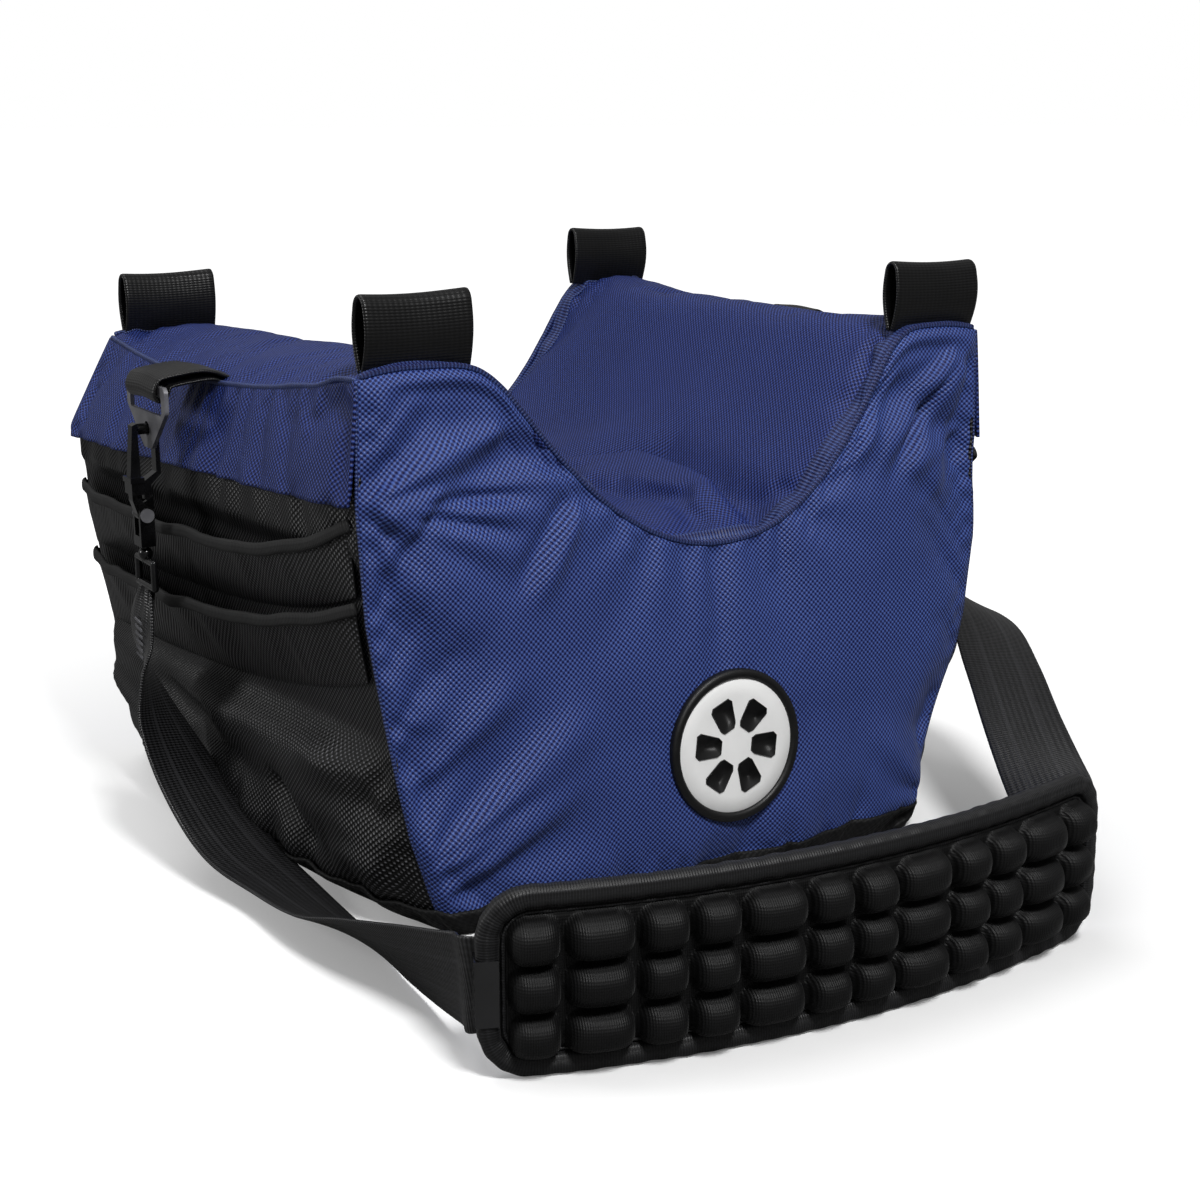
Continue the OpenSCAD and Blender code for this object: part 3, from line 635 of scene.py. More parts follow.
def sag(name, x, y, z):
    """How far the lower sides sag outwards, and the base under them."""
    full = np.interp(z, [0, 8, 30, 60, 100], [0.85, 1, 0.9, 0.45, 0])
    full = full * (1 - np.abs(2 * y / BAG_DEPTH) ** 3)
    share = (x / side_x(y, 0)) ** 2 if name == "base" else float(name in ("left", "right"))
    return SAG * full * share * np.sign(x)


def belly(x, y, z):
    """How far the filling pushes the lower front forwards."""
    push = BELLY * (1 - smooth(5, 75, z)) + 5 * np.exp(-((z - 72) / 40) ** 2)
    fade = (1 - smooth(Y_FRONT, -100, y)) * (1 - smooth(120, 180, z))
    return push * (1 - 0.25 * (x / 150) ** 4) * fade


def corner_pull(x, y, z):
    """How far the right front corner is drawn in, under its fold and just above the base."""
    pull = 5 * smooth(140, 185, z) + 18 * (1 - smooth(24, 110, z))
    return pull * (1 - smooth(Y_FRONT, -70, y)) * smooth(60, 160, x)


def end_lift(name, x, z, grid):
    flat = join(x, z)
    lift = FOLD_GAIN * sum(ridge_fold(flat, *fold) for fold in FRONT_FOLDS)
    lift = lift + sum(fan(flat, *f, 71 + n) for n, f in enumerate(FRONT_FANS))
    if name == "rear":
        lift = lift[::-1] * REAR_FOLDS
    lift = DEEPEST_FOLD * np.tanh((lift + 0.8 * wobble(grid, 38, 3)) / DEEPEST_FOLD)
    top_edge = smooth(0.01, 0.12, np.linspace(1, 0, LOW_ROWS + HIGH_ROWS + 1))
    return lift * from_ends(0, 0.03, from_left)[:, None] * top_edge


def saddle_lift(x, y, grid):
    flat = join(x, y)
    past = x - np.interp(y, *CREASE.T)
    step = np.where(past < 0, smooth(-CREASE_RISE, 0, past), 1 - smooth(0, CREASE_DROP, past))
    step = step - 0.5 * np.exp(-((past - 15) / 8) ** 2)
    lift = CREASE_HEIGHT * step * smooth(Y_FRONT, -105, y) * (1 - smooth(10, 90, y))
    lift = lift + sum(ridge_fold(flat, *fold) for fold in SADDLE_FOLDS)
    lift = lift + fan(flat, (-120, -140), 90, 2.4, 2.4, 81) + wobble(grid, 45, 5)
    return lift * from_ends(0, 0.05, along(y))


def side_lift(side, y, z):
    flat = join(y, z)
    gathers = wobble(join(y, z * 0.25, 0), 15, 11 + side) * 3.0
    gathers = gathers * smooth(150, 185, z) * (1 - smooth(188, 200, z))
    lower = sum(ridge_fold(flat, *fold) for fold in SIDE_FOLDS)
    lower = lower + sum(swelling(flat, *place) for place in SIDE_SWELLINGS)
    lower = lower + fan(flat, (-153, 46), 90, 4.0, 2.6, 87 + side)
    rumple = 2.0 * wobble(join(y * 0.5, z, 0), 22, 17 + side) * (1 - smooth(90, 120, z))
    return (gathers + lower + rumple) * from_ends(0, 0.05, along(y)) * smooth(0, 12, z)


def dress(name):
    """The cover's grid after the simulation, with the folds that its sewing gives it."""
    grid = grids[name] + moves[name]
    out = np.array(OUTWARD[name], float)
    x, y, z = np.moveaxis(grids[name], -1, 0)
    grid[..., 0] += sag(name, x, y, z) - corner_pull(x, y, z)
    grid[..., 1] -= belly(x, y, z)
    if name in ("front", "rear"):
        grid = grid + end_lift(name, x, z, grid)[..., None] * out
    if name == "rear":
        near_edge = smooth(0.75, 1, np.abs(2 * from_left - 1))[:, None]
        grid[..., 0] -= 3 * np.sign(grid[..., 0]) * near_edge
    if name == "saddle":
        grid = grid + saddle_lift(x, y, grid)[..., None] * out
    if name in ("left", "right"):
        side = int(out[0])
        # Behind the pockets the side stays flat and just inside the CAD surface
        behind = smooth(70, 90, z) * (1 - smooth(160, 172, z))
        free = (grid[..., 0] * side + side_lift(side, y, z)) * (1 - behind)
        grid[..., 0] = side * (free + (x * side - 0.8) * behind)
    return grid


dressed = {name: dress(name) for name in grids}


def cover_piece(name, part, grid, uv, thickness):
    return grid_piece(name, grid, uv, thickness, turned=TURNED[part], smoothed=False)


UNDER_FLAP = 3 * FINER
SKIN = 1.5
for side, name in SIDE_NAMES.items():
    rest, grid = grids[name], dressed[name]
    low = grid[:, :LOW_ROWS + 1 + UNDER_FLAP].copy()
    low[..., 0] -= side * 1.2
    uv = join(rest[:, :LOW_ROWS + 1 + UNDER_FLAP, 1], low[..., 2])
    piece = cover_piece(f"{name}_side_skin", name, low, uv, 1.2)
    finish_piece(piece, "bag", SIDE_CLOTH, [f"{name}_side_panel"])
    # The flap stands off the side towards its hem, and waves a little
    high, y, z = grid[:, LOW_ROWS:].copy(), rest[:, LOW_ROWS:, 1], rest[:, LOW_ROWS:, 2]
    hem = np.linspace(1, 0, HIGH_ROWS + 1)
    wave = 1.4 * wobble(join(y, z * 0.3, 0), 34, 23 + side) * hem
    high[..., 0] += side * (0.4 + 3.2 * hem ** 0.8 + wave * np.sin(np.pi * along(y)) ** 0.5)
    piece = cover_piece(f"{name}_shoulder_skin", name, high, join(y, run_along(high, 1)), SKIN)
    finish_piece(piece, "bag", BLUE_TOP_SHADED, [f"{name}_shoulder_panel"])

for name in ("front", "rear"):
    uv = join(grids[name][..., 0], grids[name][..., 2])
    piece = cover_piece(f"{name}_skin", name, dressed[name], uv, SKIN)
    finish_piece(piece, "bag", BLUE, [f"{name}_panel"])

# The saddle's end rows are tucked in behind the front and rear skins
saddle = dressed["saddle"]
tucked = saddle.copy()
tucked[0, :, 1] += 1.0
tucked[-1, :, 1] -= 1.0
arc = run_along(grids["saddle"][DEEP // 2])
uv = join(arc, grids["saddle"][..., 1])
saddle_piece = cover_piece("saddle_skin", "saddle", tucked, uv, SKIN)
finish_piece(saddle_piece, "bag", BLUE_TOP_SHADED, ["saddle_panel", "bead_core"])

# The black band that the base's fabric turns up round the foot of the bag
LIP_ROWS = 2 * FINER + 1
foot = np.concatenate([dressed["front"][:-1, :LIP_ROWS], dressed["right"][:-1, :LIP_ROWS],
                       dressed["rear"][:0:-1, :LIP_ROWS], dressed["left"][:0:-1, :LIP_ROWS]])
ahead = unit(np.roll(foot, -2, 0) - np.roll(foot, 2, 0))
foot_out = unit(join(ahead[..., 1], -ahead[..., 0], 0))
foot = foot + foot_out * (1.4 + 0.3 * wobble(foot, 12, 39))[..., None]
foot = np.concatenate([foot, foot[:1]])
foot_run = run_along(foot[:, 0])
lip = grid_piece("base_lip_skin", foot, join(foot_run[:, None], foot[..., 2]), 1.2, smoothed=False)
finish_piece(lip, "bag", BASE)

base = dressed["base"] + [0, 0, 0.2]
base_piece = cover_piece("base_skin", "base", base, base[..., :2], 1.6)
finish_piece(base_piece, "bag", BASE, ["base_panel"])

# The folded seam allowance inside the saddle's two ends, and the raised seams along them
BAND_ROWS = 2 * FINER
ROW_DEPTH = BAG_DEPTH / DEEP
for name, rows in (("front", saddle[:BAND_ROWS + 1]), ("rear", saddle[-BAND_ROWS - 1:])):
    band = rows[:, FINER:-FINER].copy()
    band[..., 2] += 0.9 + 0.25 * wobble(band, 6, 35)
    uv = join(np.arange(BAND_ROWS + 1)[:, None] * ROW_DEPTH, arc[FINER:-FINER])
    piece = cover_piece(f"{name}_saddle_band", "saddle", band, uv, 0.8)
    finish_piece(piece, "bag", BLUE_TAPE)


def seam_piece(name, line, count, out, size, uneven_by, spacing, seed, shift=(0, 0, 0)):
    """A raised seam along a line of points: oval size, and how unevenly it swells."""
    seam = resample(line, count)[0] + shift
    profile = uneven(oval(*size), 1 + uneven_by * wobble(seam, spacing, seed))
    finish_piece(sweep(name, seam, out, profile), "bag", BLUE_TAPE)


for name, row, way in (("front", 0, -1), ("rear", -1, 1)):
    line = saddle[row, 1:-1] + [0, way * -0.8, 0.9]
    seam_piece(f"{name}_saddle_seam", line, 260, (0, way, 0), (3.6, 2.8), 0.12, 5, 31)
for side, name in SIDE_NAMES.items():
    edge = 0 if side < 0 else -1
    line = saddle[1:-1, edge] + [-0.5 * side, 0, 0.3]
    seam_piece(f"{name}_ridge_seam", line, 140, (side, 0, 0.5), (3.0, 2.6), 0.15, 6, 33)
    for end, inwards, back in (("front", 0.4, 0.6), ("rear", 1.5, -3.0)):
        seam_piece(f"{end}_{name}_corner_seam", dressed[end][edge, 1:], 120, (side, 0, 0),
                   (1.6, 1.6), 0.15, 6, 37, shift=(-side * inwards, back, 0))

# ---- side pockets ----

POCKET_INSET = 6
POCKET_LENGTH = BAG_DEPTH - 2 * POCKET_INSET
pocket_ys = np.linspace(Y_FRONT + POCKET_INSET, Y_REAR - POCKET_INSET, 130)[:, None]
MOUTH_POINTS = 200


def climb(y, height, length):
    """How much higher the pocket is towards the front."""
    return height * np.exp((Y_FRONT - y) / length)


def pocket_edges(tier, y):
    """Heights of the pocket's bottom and mouth; the upper pocket starts above the lower one."""
    lower_mouth = 119 + climb(y, 31, 75)
    if tier == "upper":
        return lower_mouth + 3, 157 + climb(y, 30, 45)
    return 78 + climb(y, 37, 110), lower_mouth


def stand_off(y, share):
    middle = np.maximum(0, 1 - np.abs(2 * y / POCKET_LENGTH) ** 3)
    return 0.5 + 13 * share ** 0.8 * middle ** 0.6


# The mouth's binding is flattened where it meets the rear seam
rear_taper = join(0.4 + 0.6 * smooth(0, 9, np.arange(MOUTH_POINTS)[::-1]), 1.0)[:, None]
for side, name in SIDE_NAMES.items():
    for tier in ("upper", "lower"):
        share = np.linspace(0, 1, 25)
        y = pocket_ys + 0 * share
        low, top = pocket_edges(tier, y)
        droop = 2.2 * wobble(join(y, 0, 0), 30, 41 + side) * share ** 2
        z = low + (top - low) * share + droop
        seed = 43 + side + (5 if tier == "upper" else 0)
        folds = 3.6 * wobble(join(y, z * 0.5, 0), 19, seed)
        folds = folds + 1.6 * wobble(join(y, z * 0.3, 0), 7, 53 + side) * (1 - smooth(-120, -40, y))
        ends = np.sin(np.pi * (y - pocket_ys[0]) / (pocket_ys[-1] - pocket_ys[0])) ** 0.5
        folds = folds * ends * (0.25 + 0.75 * np.sin(np.pi * share * 0.8)) * 0.8
        grid = join(side * (side_x(y, z) + stand_off(y, share) + folds), y, z)
        piece = grid_piece(f"{name}_{tier}_pocket_skin", grid, join(y, z), 1.3, turned=side < 0)
        finish_piece(piece, "bag", SIDE_CLOTH, [f"{name}_{tier}_pocket"])
        mouth = resample(grid[:, -1], MOUTH_POINTS)[0] - [0, 0, 1.8]
        profile = uneven(oval(2.8, 6.0, 12, 0.7), 1 + 0.12 * wobble(mouth, 9, 47 + side))
        piece = sweep(f"{name}_{tier}_pocket_binding", mouth, (side, 0, 0), profile * rear_taper)
        finish_piece(piece, "bag", TAPE, [f"{name}_{tier}_binding"])

# ---- corner loops and tabs of webbing ----

LOOP_H, LOOP_W, LOOP_INSET, LOOP_SUNK, WEB_T = 31, 50, 7, 2.5, 2
LOOP_BASE = {("front", LEFT): 244.8, ("rear", LEFT): 233.8, ("front", RIGHT): 246.8,
             ("rear", RIGHT): 248.8}


def loop_line(height, gape):
    """One turn of webbing as (y, z): up, over the top and down again."""
    k = np.linspace(0, 1, 9)
    up = join(-1.3 - gape * np.sin(np.radians(150 * k)), height * 0.9 * k)
    down = up[::-1] * [-1, 1]
    return np.vstack([up, [[0, height - WEB_T / 2]], down])


for (end, side), z0 in LOOP_BASE.items():
    name = f"{end}_{SIDE_NAMES[side]}_loop"
    corner = Y_FRONT if end == "front" else Y_REAR
    y0 = corner - LOOP_INSET * np.sign(corner)
    outer = float(side_x(corner, SEAM_LEVEL)) - 5
    xs = np.linspace(outer - LOOP_W, outer, 21)
    rows = []
    for t, x in zip(np.linspace(0, 1, len(xs)), xs):
        # The loop leans and gapes a little more towards its outer edge
        line, run = resample(loop_line(LOOP_H - 1.5 * math.sin(2.6 * t), 3.6 + 1.2 * t), 41)
        rows.append(join(side * x, y0 + line[:, 0] + 0.8 * math.sin(3 * t),
                         z0 - LOOP_SUNK + line[:, 1] * (1 + LOOP_SUNK / LOOP_H)))
    piece = grid_piece(name + "_web", np.array(rows), join(xs[:, None], run), WEB_T,
                       turned=side > 0, offset=0)
    finish_piece(piece, "bag", WEB, [name])

RING_Y, PLATE_X, BAR_Z, TAB_W = 10, 198, 222, 40
for side, name in SIDE_NAMES.items():
    seam, root = float(side_x(RING_Y, SEAM_LEVEL)), float(seam_z(side, RING_Y))
    # Out over the flap, round the ring's bar and back, as (distance inwards, z)
    line = np.array([
        [-seam + 7, root + 2.4], [-seam + 1.5, root + 4.2], [-seam - 4, root + 6.4],
        [-seam - 12, root + 7.4], [-PLATE_X + 2, BAR_Z + 6.5], [-PLATE_X - 1.6, BAR_Z + 4.2],
        [-PLATE_X - 3.1, BAR_Z], [-PLATE_X - 1.6, BAR_Z - 3.8], [-PLATE_X + 1.6, BAR_Z - 3.8],
        [-PLATE_X + 4, BAR_Z], [-PLATE_X + 6, BAR_Z + 2.6], [-seam - 6, root + 3.4],
        [-seam, root + 1.4]], float)
    curve, run = resample(line, 60)
    wide = np.linspace(-TAB_W / 2, TAB_W / 2, 13)[:, None]
    grid = join(-side * curve[:, 0], RING_Y + wide, curve[:, 1] + 0.4 * np.cos(wide / 6))
    piece = grid_piece(f"{name}_tab_web", grid, join(wide, run), 1.8, turned=side > 0, offset=0)
    finish_piece(piece, "bag", WEB, [f"{name}_tab"])

# ---- badge, on the plane that best fits the bulged front ----

BADGE_X, BADGE_Z, BADGE_R = 11, 62, 36
front = dressed["front"].reshape(-1, 3)
near = front[np.hypot(front[:, 0] - BADGE_X, front[:, 2] - BADGE_Z) < BADGE_R + 2]
around_badge = np.c_[near[:, 0] - BADGE_X, near[:, 2] - BADGE_Z, np.ones(len(near))]
fit, *_ = np.linalg.lstsq(around_badge, near[:, 1], rcond=None)
proud = float(np.max(around_badge @ fit - near[:, 1]))
badge_at = np.array([BADGE_X, fit[2] - max(0.4, proud * 0.6), BADGE_Z])
badge_u = unit(np.array([1, fit[0], 0]))
upwards = np.array([0, fit[1], 1])
badge_v = unit(upwards - badge_u * (badge_u @ upwards))
badge_n = np.cross(badge_u, badge_v)


def on_badge(u, v, height):
    return badge_at + badge_u * u + badge_v * v + badge_n * height


def lathe(name, profile, sides=72):
    """A disc or ring on the badge's plane from (radius, height) pairs."""
    turns = [2 * math.pi * i / sides for i in range(sides)]
    grid = np.array([[on_badge(r * math.cos(a), r * math.sin(a), h) for a in turns]
                     for r, h in profile])
    uv = join(np.array(profile)[:, :1], np.arange(sides))
    faces = grid_faces(len(profile), sides, closed=True, turned=True)
    return mesh_object(name, grid.reshape(-1, 3), faces, uv.reshape(-1, 2))


rim = lathe("badge_rim_ring", [(31.4, -1.5), (31.4, 0.6), (31.8, 1.7), (32.8, 2.3), (34.6, 2.3),
                               (35.6, 1.8), (36, 0.8), (36, -1.5)])
finish_piece(rim, "bag", RUBBER, ["badge_rim"])
face = lathe("badge_face_disc", [(31.6, 0.6), (31.2, 1.0), (24, 1.05), (12, 1.1), (0.02, 1.1)])
finish_piece(face, "bag", WHITE, ["badge_face"])
# One blade's corners as shares of the badge's radius, and how its edge rises: height, size
BLADES, BLADE = 6, np.array([(0.22, -0.13), (0.6, -0.27), (0.65, 0.09), (0.25, 0.1)])
BLADE_EDGE = ((0.9, 1.0), (1.45, 1.0), (1.7, 0.97))
CORNER_CUT = 0.14
ring = np.concatenate([[a + (b - a) * k for k in (CORNER_CUT, 0.5, 1 - CORNER_CUT)]
                       for a, b in zip(BLADE, np.roll(BLADE, -1, 0))])
middle, corners, rises = ring.mean(axis=0), len(ring), len(BLADE_EDGE)
points, faces = [], []
for i in range(BLADES):
    c, s = math.cos(2 * math.pi / BLADES * i), math.sin(2 * math.pi / BLADES * i)
    first = len(points)
    for h, size in BLADE_EDGE:
        for x, z in (middle + (ring - middle) * size) * BADGE_R:
            points.append(on_badge(x * c - z * s, x * s + z * c, h))
    faces += grid_faces(rises, corners, closed=True, start=first)
    faces.append(tuple(range(first + (rises - 1) * corners, first + rises * corners)))
mark = mesh_object("badge_blades", points, faces, np.zeros((len(points), 2)))
finish_piece(mark, "bag", RUBBER, ["badge_mark"])

# ---- shoulder strap ----

STRAP_W = 38
PAD_X, PAD_Y, PAD_FACING, PAD_R, PAD_HALF = -16, 127, math.radians(-93.4), 440, 19.2
S_HALF = math.radians(PAD_HALF) * PAD_R


def pad_point(s, z, r):
    """A point at s along the pad's arc (0 in its middle), height z and radius r."""
    turn = PAD_FACING + s / PAD_R
    return join(PAD_X + r * np.cos(turn), PAD_Y + r * np.sin(turn), z)


# The strap's middle line: x, y, z, the direction across the strap, and its width
LEFT_RUN = [
    (-203, 10, 128.5, 0, 1, 0, 16), (-205, 12, 116, 0, 1, 0, 30), (-206, 14, 101, 0.1, 1, 0, 38),
    (-205, 12, 85, 0.4, 0.92, 0, 38), (-202, 3, 64, 0.7, 0.7, 0, 38),
    (-197, -22, 39, 0.9, 0.4, 0, 38), (-191, -58, 18, 1, 0.1, -0.05, 38),
    (-184, -98, 9, 0.97, 0, -0.22, 38), (-184, -148, 10.5, 0.9, 0, -0.42, 38),
    (-184, -190, 16.2, 0.64, 0, -0.77, 38), (-182, -225, 21.5, 0.35, 0, -0.94, 38),
    (-182, -258, 28.5, 0.1, 0, -0.99, 38)]
PAD_RUN = [(*pad_point(s, 34, PAD_R - 3), 0, 0, -1, 38) for s in np.linspace(-S_HALF, S_HALF, 9)]
RIGHT_RUN = [
    (117, -275, 37, -0.45, 0.25, -0.85, 38), (131, -247, 46, -0.78, 0.45, -0.42, 38),
    (149, -212, 61, -0.84, 0.52, -0.12, 38), (169.5, -175, 77, -0.84, 0.53, 0, 38),
    (192, -133, 91, -0.5, 0.74, 0.3, 38), (202, -88, 100, -0.15, 0.8, 0.5, 38),
    (205, -48, 101, -0.05, 0.75, 0.64, 38), (206, -16, 98, -0.03, 0.75, 0.66, 38),
    (206, 2, 105, 0, 0.92, 0.4, 38), (205, 9, 116, 0, 1, 0.05, 30), (203, 10, 128.5, 0, 1, 0, 16)]
strap, strap_run = resample(LEFT_RUN + PAD_RUN + RIGHT_RUN, 230)
middle, width = strap[:, :3], strap[:, 6:7]
ahead = unit(np.gradient(middle, axis=0))
aside = unit(strap[:, 3:6] - ahead * np.sum(strap[:, 3:6] * ahead, 1, keepdims=True))
wide = np.linspace(-0.5, 0.5, 13)
# It is slightly crowned, and pleated where it narrows into a link
narrow = (STRAP_W - width) / STRAP_W
rise = 0.6 * np.cos(np.pi * wide) * (1 - narrow) + 3.2 * np.sin(wide * 5 * np.pi) * narrow
grid = (middle[:, None] + aside[:, None] * (wide * width)[..., None]
        + np.cross(ahead, aside)[:, None] * rise[..., None])
uv = join((wide + 0.5) * STRAP_W, strap_run[:, None])
strap_piece = grid_piece("shoulder_strap_web", grid, uv, 1.8, offset=0)
finish_piece(strap_piece, "strap", WEB_STRAP, ["shoulder_strap"])

# ---- shoulder pad ----

PAD_H, BINDING_W, CORNER_R = 74, 8, 20


def inside_edge(s, z, inset):
    """How far (s, z) lies inside a rounded outline that is inset from the pad's edge."""
    r = CORNER_R - inset
    qx = np.abs(s) - (S_HALF - inset - r)
    qz = np.abs(z - PAD_H / 2) - (PAD_H / 2 - inset - r)
    return r - (np.hypot(np.maximum(qx, 0), np.maximum(qz, 0)) + np.minimum(np.maximum(qx, qz), 0))


def outline(inset):
    """Points (s, z) of the rounded outline, anticlockwise seen from the front."""
    r = CORNER_R - inset
    cx, cz = S_HALF - inset - r, PAD_H / 2 - inset - r
    corners = ((1, 1), (-1, 1), (-1, -1), (1, -1))
    rows = []
    for i, (sx, sz) in enumerate(corners):
        nx, nz = corners[(i + 1) % 4]
        for a in np.linspace(0, math.pi / 2, 14):
            turn = math.pi / 2 * i + a
            rows.append((sx * cx + r * math.cos(turn), PAD_H / 2 + sz * cz + r * math.sin(turn)))
        last = np.array(rows[-1])
        goal = np.array([nx * cx + r * math.cos(turn), PAD_H / 2 + nz * cz + r * math.sin(turn)])
        for t in np.linspace(0, 1, (92, 16)[i % 2])[1:-1]:
            rows.append(tuple(last * (1 - t) + goal * t))
    return np.array(rows)


def pad_edge(name, inset, height, outwards, profile, scale):
    """A tube round the pad at the given inset and height above the pad's radius."""
    s, z = outline(inset).T
    path = pad_point(s, z, PAD_R + height)
    way = pad_point(s, z, PAD_R + outwards) - path
    scale = scale(path, np.arange(len(path)))
    return sweep(name, path, way, uneven(profile, scale), closed=True)


def gather(path, i):
    return 1 + 0.10 * wobble(path, 5, 51) + 0.05 * np.sin(i * 1.9)


binding = pad_edge("pad_edge_binding", BINDING_W / 2, 4.2, 5.2,
                   oval(8.6, BINDING_W + 1, 14, 0.75), gather)
finish_piece(binding, "strap", TRIM, ["pad_binding"])


def pad_grid(inset, columns, rows):
    """Coordinates (s, z) of a grid over the pad."""
    return np.meshgrid(np.linspace(-S_HALF + inset, S_HALF - inset, columns),
                       np.linspace(inset, PAD_H - inset, rows), indexing="ij")


def pad_piece(name, s, z, height, keep, turned=False):
    """A surface over the pad, at a height above its radius, of the cells whose corners are kept."""
    faces = [f for f in grid_faces(*s.shape, turned=turned) if keep.ravel()[list(f)].all()]
    obj = mesh_object(name, pad_point(s, z, PAD_R + height).reshape(-1, 3), faces,
                      join(s, z).reshape(-1, 2))
    edit_mesh(obj, lambda bm: bmesh.ops.delete(
        bm, geom=[v for v in bm.verts if not v.link_faces], context="VERTS"))
    return obj


CELL_SHARES = [1, 1.45, 1, 1, 1.45, 1, 1, 1.45, 1, 1, 1.45, 1]
CELL_ROWS, FIRST_ROW, ROW_PITCH, HALF_ROW, CELL_SPREAD = 3, 16.3, 18.8, 9.1, 1.2
CELL_GAP_DEG, CELL_HEIGHT = 0.55, 10.6
BINDING_DEG = BINDING_W / PAD_R * 57.3
span = 2 * (PAD_HALF - BINDING_DEG - 0.35)
unit_deg = (span - CELL_GAP_DEG * len(CELL_SHARES)) / sum(CELL_SHARES)
s, z = pad_grid(4, 370, 92)
puff, n = np.zeros_like(s), 0
for i, share in enumerate(CELL_SHARES):
    mid = -span / 2 + unit_deg * (sum(CELL_SHARES[:i]) + share / 2) + CELL_GAP_DEG * (i + 0.5)
    half = math.radians(unit_deg * share / 2) * PAD_R + CELL_SPREAD
    for row in range(CELL_ROWS):
        u = (s - math.radians(mid) * PAD_R) / half
        v = (z - FIRST_ROW - ROW_PITCH * row) / HALF_ROW
        dome = np.maximum(0, 1 - (np.abs(u) ** 3.6 + np.abs(v) ** 3.0)) ** 0.45
        dome = dome * (1 - 0.12 * u ** 2 - 0.2 * v ** 2)
        # No two cells are quite alike
        tilt = 1 + 0.05 * math.sin(n * 2.4) * u + 0.06 * math.cos(n * 1.7) * v
        puff = np.maximum(puff, dome * tilt * (1 + 0.04 * math.sin(n * 5.1)))
        n += 1
deep = inside_edge(s, z, BINDING_W - 1)
height = 6.0 - 1.6 * (1 - smooth(0, 6, deep)) + CELL_HEIGHT * puff
height = height + 0.35 * wobble(join(s, z * 0.5, 0), 7, 61)
cell_piece = pad_piece("pad_air_cells", s, z, np.where(deep < -2.5, 2.0, height),
                       inside_edge(s, z, 3.5) > 0)
finish_piece(cell_piece, "strap", KNIT, ["pad_cells"])

s, z = pad_grid(3, 120, 30)
deep = inside_edge(s, z, 3)
height = 2.6 - 1.2 * smooth(0, 14, deep) + 0.4 * wobble(join(s, z, 0), 14, 63)
back = pad_piece("pad_backing", s, z, height, deep > -0.5, turned=True)
finish_piece(back, "strap", KNIT, ["pad_back"])

TUNNEL_HALF, TUNNEL_LOW, TUNNEL_TOP = PAD_HALF - 2.2, 8, 64
a, z = np.meshgrid(np.linspace(-TUNNEL_HALF, TUNNEL_HALF, 70),
                   np.linspace(TUNNEL_LOW, TUNNEL_TOP, 19), indexing="ij")
bow = np.sin(np.pi * (z - TUNNEL_LOW) / (TUNNEL_TOP - TUNNEL_LOW)) ** 0.4
tunnel_r = PAD_R + 0.6 - 6.2 * bow + 0.5 * wobble(join(a * 7, z, 0), 18, 67)
s = np.radians(a) * PAD_R
tunnel = grid_piece("pad_tunnel_skin", pad_point(s, z, tunnel_r), join(s, z), 1.2, turned=True)
finish_piece(tunnel, "strap", KNIT, ["pad_tunnel"])

# Stitch line just inside the binding
piece = pad_edge("pad_stitch_line", BINDING_W + 1.6, 5.6, 6.6, oval(0.9, 1.3, 6),
                 lambda path, i: 1 + 0.5 * np.sin(i * 2.3))
finish_piece(piece, "strap", TRIM)

# ---- CAD pieces that stay, with their own finish ----

KEPT = {"strap_stitches": THREAD, "strap_slider": PLASTIC, "pad_end_guard": GLOSSY}
for name in ("left", "right"):
    KEPT.update({
        f"{name}_ring_plate": STEEL, f"{name}_hook_frame": DARK_STEEL, f"{name}_gate": DARK_STEEL,
        f"{name}_hook_rivet": STEEL, f"{name}_swivel": DARK_STEEL,
        f"{name}_strap_link": DARK_STEEL, f"{name}_gate_spring": SPRING})
for node, material in KEPT.items():
    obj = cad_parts[node]
    for place in obj.material_slots:
        place.material = material
    bevel = obj.modifiers.new("edges", "BEVEL")
    bevel.width, bevel.segments = 0.25 * MM, 2
    bevel.limit_method, bevel.angle_limit = "ANGLE", math.radians(40)
    bevel.use_clamp_overlap = True

# ---- floor, light, camera ----

FLOOR_HALF, FLOOR_DROP = 60.0, 0.5 * MM
CORNERS = [(-1, -1), (1, -1), (1, 1), (-1, 1)]
floor_mesh = bpy.data.meshes.new("floor")
floor_mesh.from_pydata([(x * FLOOR_HALF, y * FLOOR_HALF, 0) for x, y in CORNERS], [],
                       [(0, 1, 2, 3)])
floor = add_object("floor", floor_mesh)
floor.location.z = -FLOOR_DROP


def camera_only(tree, seen, lit_by, output):
    """Shows the camera one shader, while the light bounces off another."""
    path, either = (tree.nodes.new("ShaderNode" + kind) for kind in ("LightPath", "MixShader"))
    for n, source in enumerate((path.outputs["Is Camera Ray"], lit_by.outputs[0], seen.outputs[0])):
        tree.links.new(source, either.inputs[n])
    tree.links.new(either.outputs[0], tree.nodes[output].inputs[0])


pale = Shader("floor_white", 0.6)
pale.colour(pale.ramp(pale.noise(2), (0.3, grey(104)), (0.7, grey(108))))
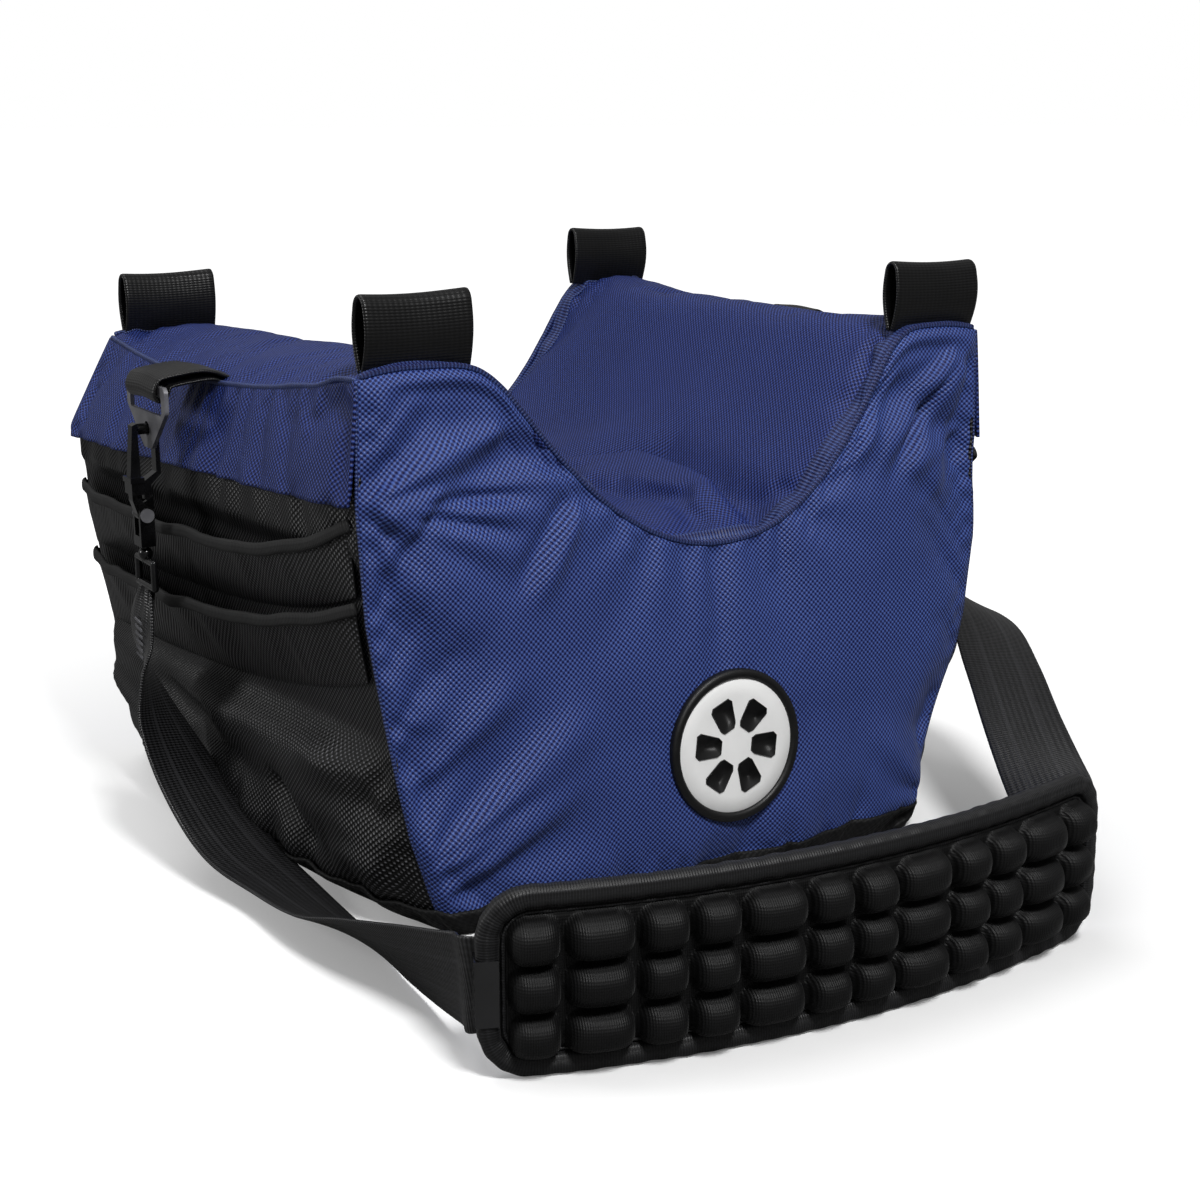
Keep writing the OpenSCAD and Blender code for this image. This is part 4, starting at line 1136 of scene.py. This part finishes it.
# The floor's own glow makes up for the lamp's fall-off with distance, so that it stays white
glow, paper, both = (pale.add(kind) for kind in ("Emission", "BsdfDiffuse", "AddShader"))
from_pad = pale.add("VectorMath", operation="ADD")
from_pad.inputs[1].default_value = (0, 0.3, 0)
away = pale.add("VectorMath", operation="LENGTH")
pale.links.new(pale.object_place(), from_pad.inputs[0])
pale.links.new(from_pad.outputs[0], away.inputs[0])
glow.inputs[0].default_value = (1, 1, 1, 1)
pale.put(glow.inputs[1], pale.span(away.outputs["Value"], 0.1, 0.9, 0.1, 0.72))
pale.put(paper.inputs[0], pale.ramp(pale.noise(3), (0.3, grey(226)), (0.7, grey(230))))
pale.links.new(paper.outputs[0], both.inputs[0])
pale.links.new(glow.outputs[0], both.inputs[1])
camera_only(pale.mat.node_tree, both, pale.bsdf, "Material Output")
floor_mesh.materials.append(pale.mat)

SKY_LIGHT = 0.24
world = bpy.data.worlds.new("studio")
bpy.context.scene.world = world
world.use_nodes = True
studio = world.node_tree.nodes["Background"]
white = world.node_tree.nodes.new("ShaderNodeBackground")
for sky, strength in ((studio, SKY_LIGHT), (white, 1.0)):
    sky.inputs[0].default_value, sky.inputs[1].default_value = (1, 1, 1, 1), strength
camera_only(world.node_tree, white, studio, "World Output")


def lamp(name, kind, way, power, **settings):
    light = bpy.data.lights.new(name, kind)
    light.energy = power
    for key, value in settings.items():
        setattr(light, key, value)
    obj = add_object(name, light)
    obj.rotation_euler = Vector(way).to_track_quat("-Z", "Y").to_euler()
    return obj


def area(name, place, target, size, power):
    way = Vector(target) - Vector(place)
    lamp(name, "AREA", way, power, shape="DISK", size=size).location = place


lamp("overhead", "SUN", (0.1, -0.35, -1.0), 0.8, angle=math.radians(30))
area("key", (-0.2, -1.1, 1.35), (0.03, -0.15, 0.15), 0.35, 22)
area("rim", (-1.3, 0.5, 0.6), (-0.15, 0, 0.12), 0.4, 5)

# The photograph's camera, as it was fitted to the outline
CAM_TARGET, CAM_YAW, CAM_PITCH, CAM_DISTANCE = Vector((0.0423, 0, 0.0914)), 31.88, 13.96, 1.0425
FOCAL_PX, IMAGE_PX, SENSOR_MM = 1940.8, 1200, 36
camera = add_object("camera", bpy.data.cameras.new("camera"))
bpy.context.scene.camera = camera
yaw, pitch = math.radians(CAM_YAW), math.radians(CAM_PITCH)
away = Vector((-math.sin(yaw) * math.cos(pitch), -math.cos(yaw) * math.cos(pitch), math.sin(pitch)))
camera.location = CAM_TARGET + away * CAM_DISTANCE
camera.rotation_mode = "QUATERNION"
camera.rotation_quaternion = (-away).to_track_quat("-Z", "Y")
camera.data.sensor_width = SENSOR_MM
camera.data.lens = FOCAL_PX / IMAGE_PX * SENSOR_MM
camera.data.clip_start = 0.01
bpy.context.scene.view_settings.view_transform = "Standard"
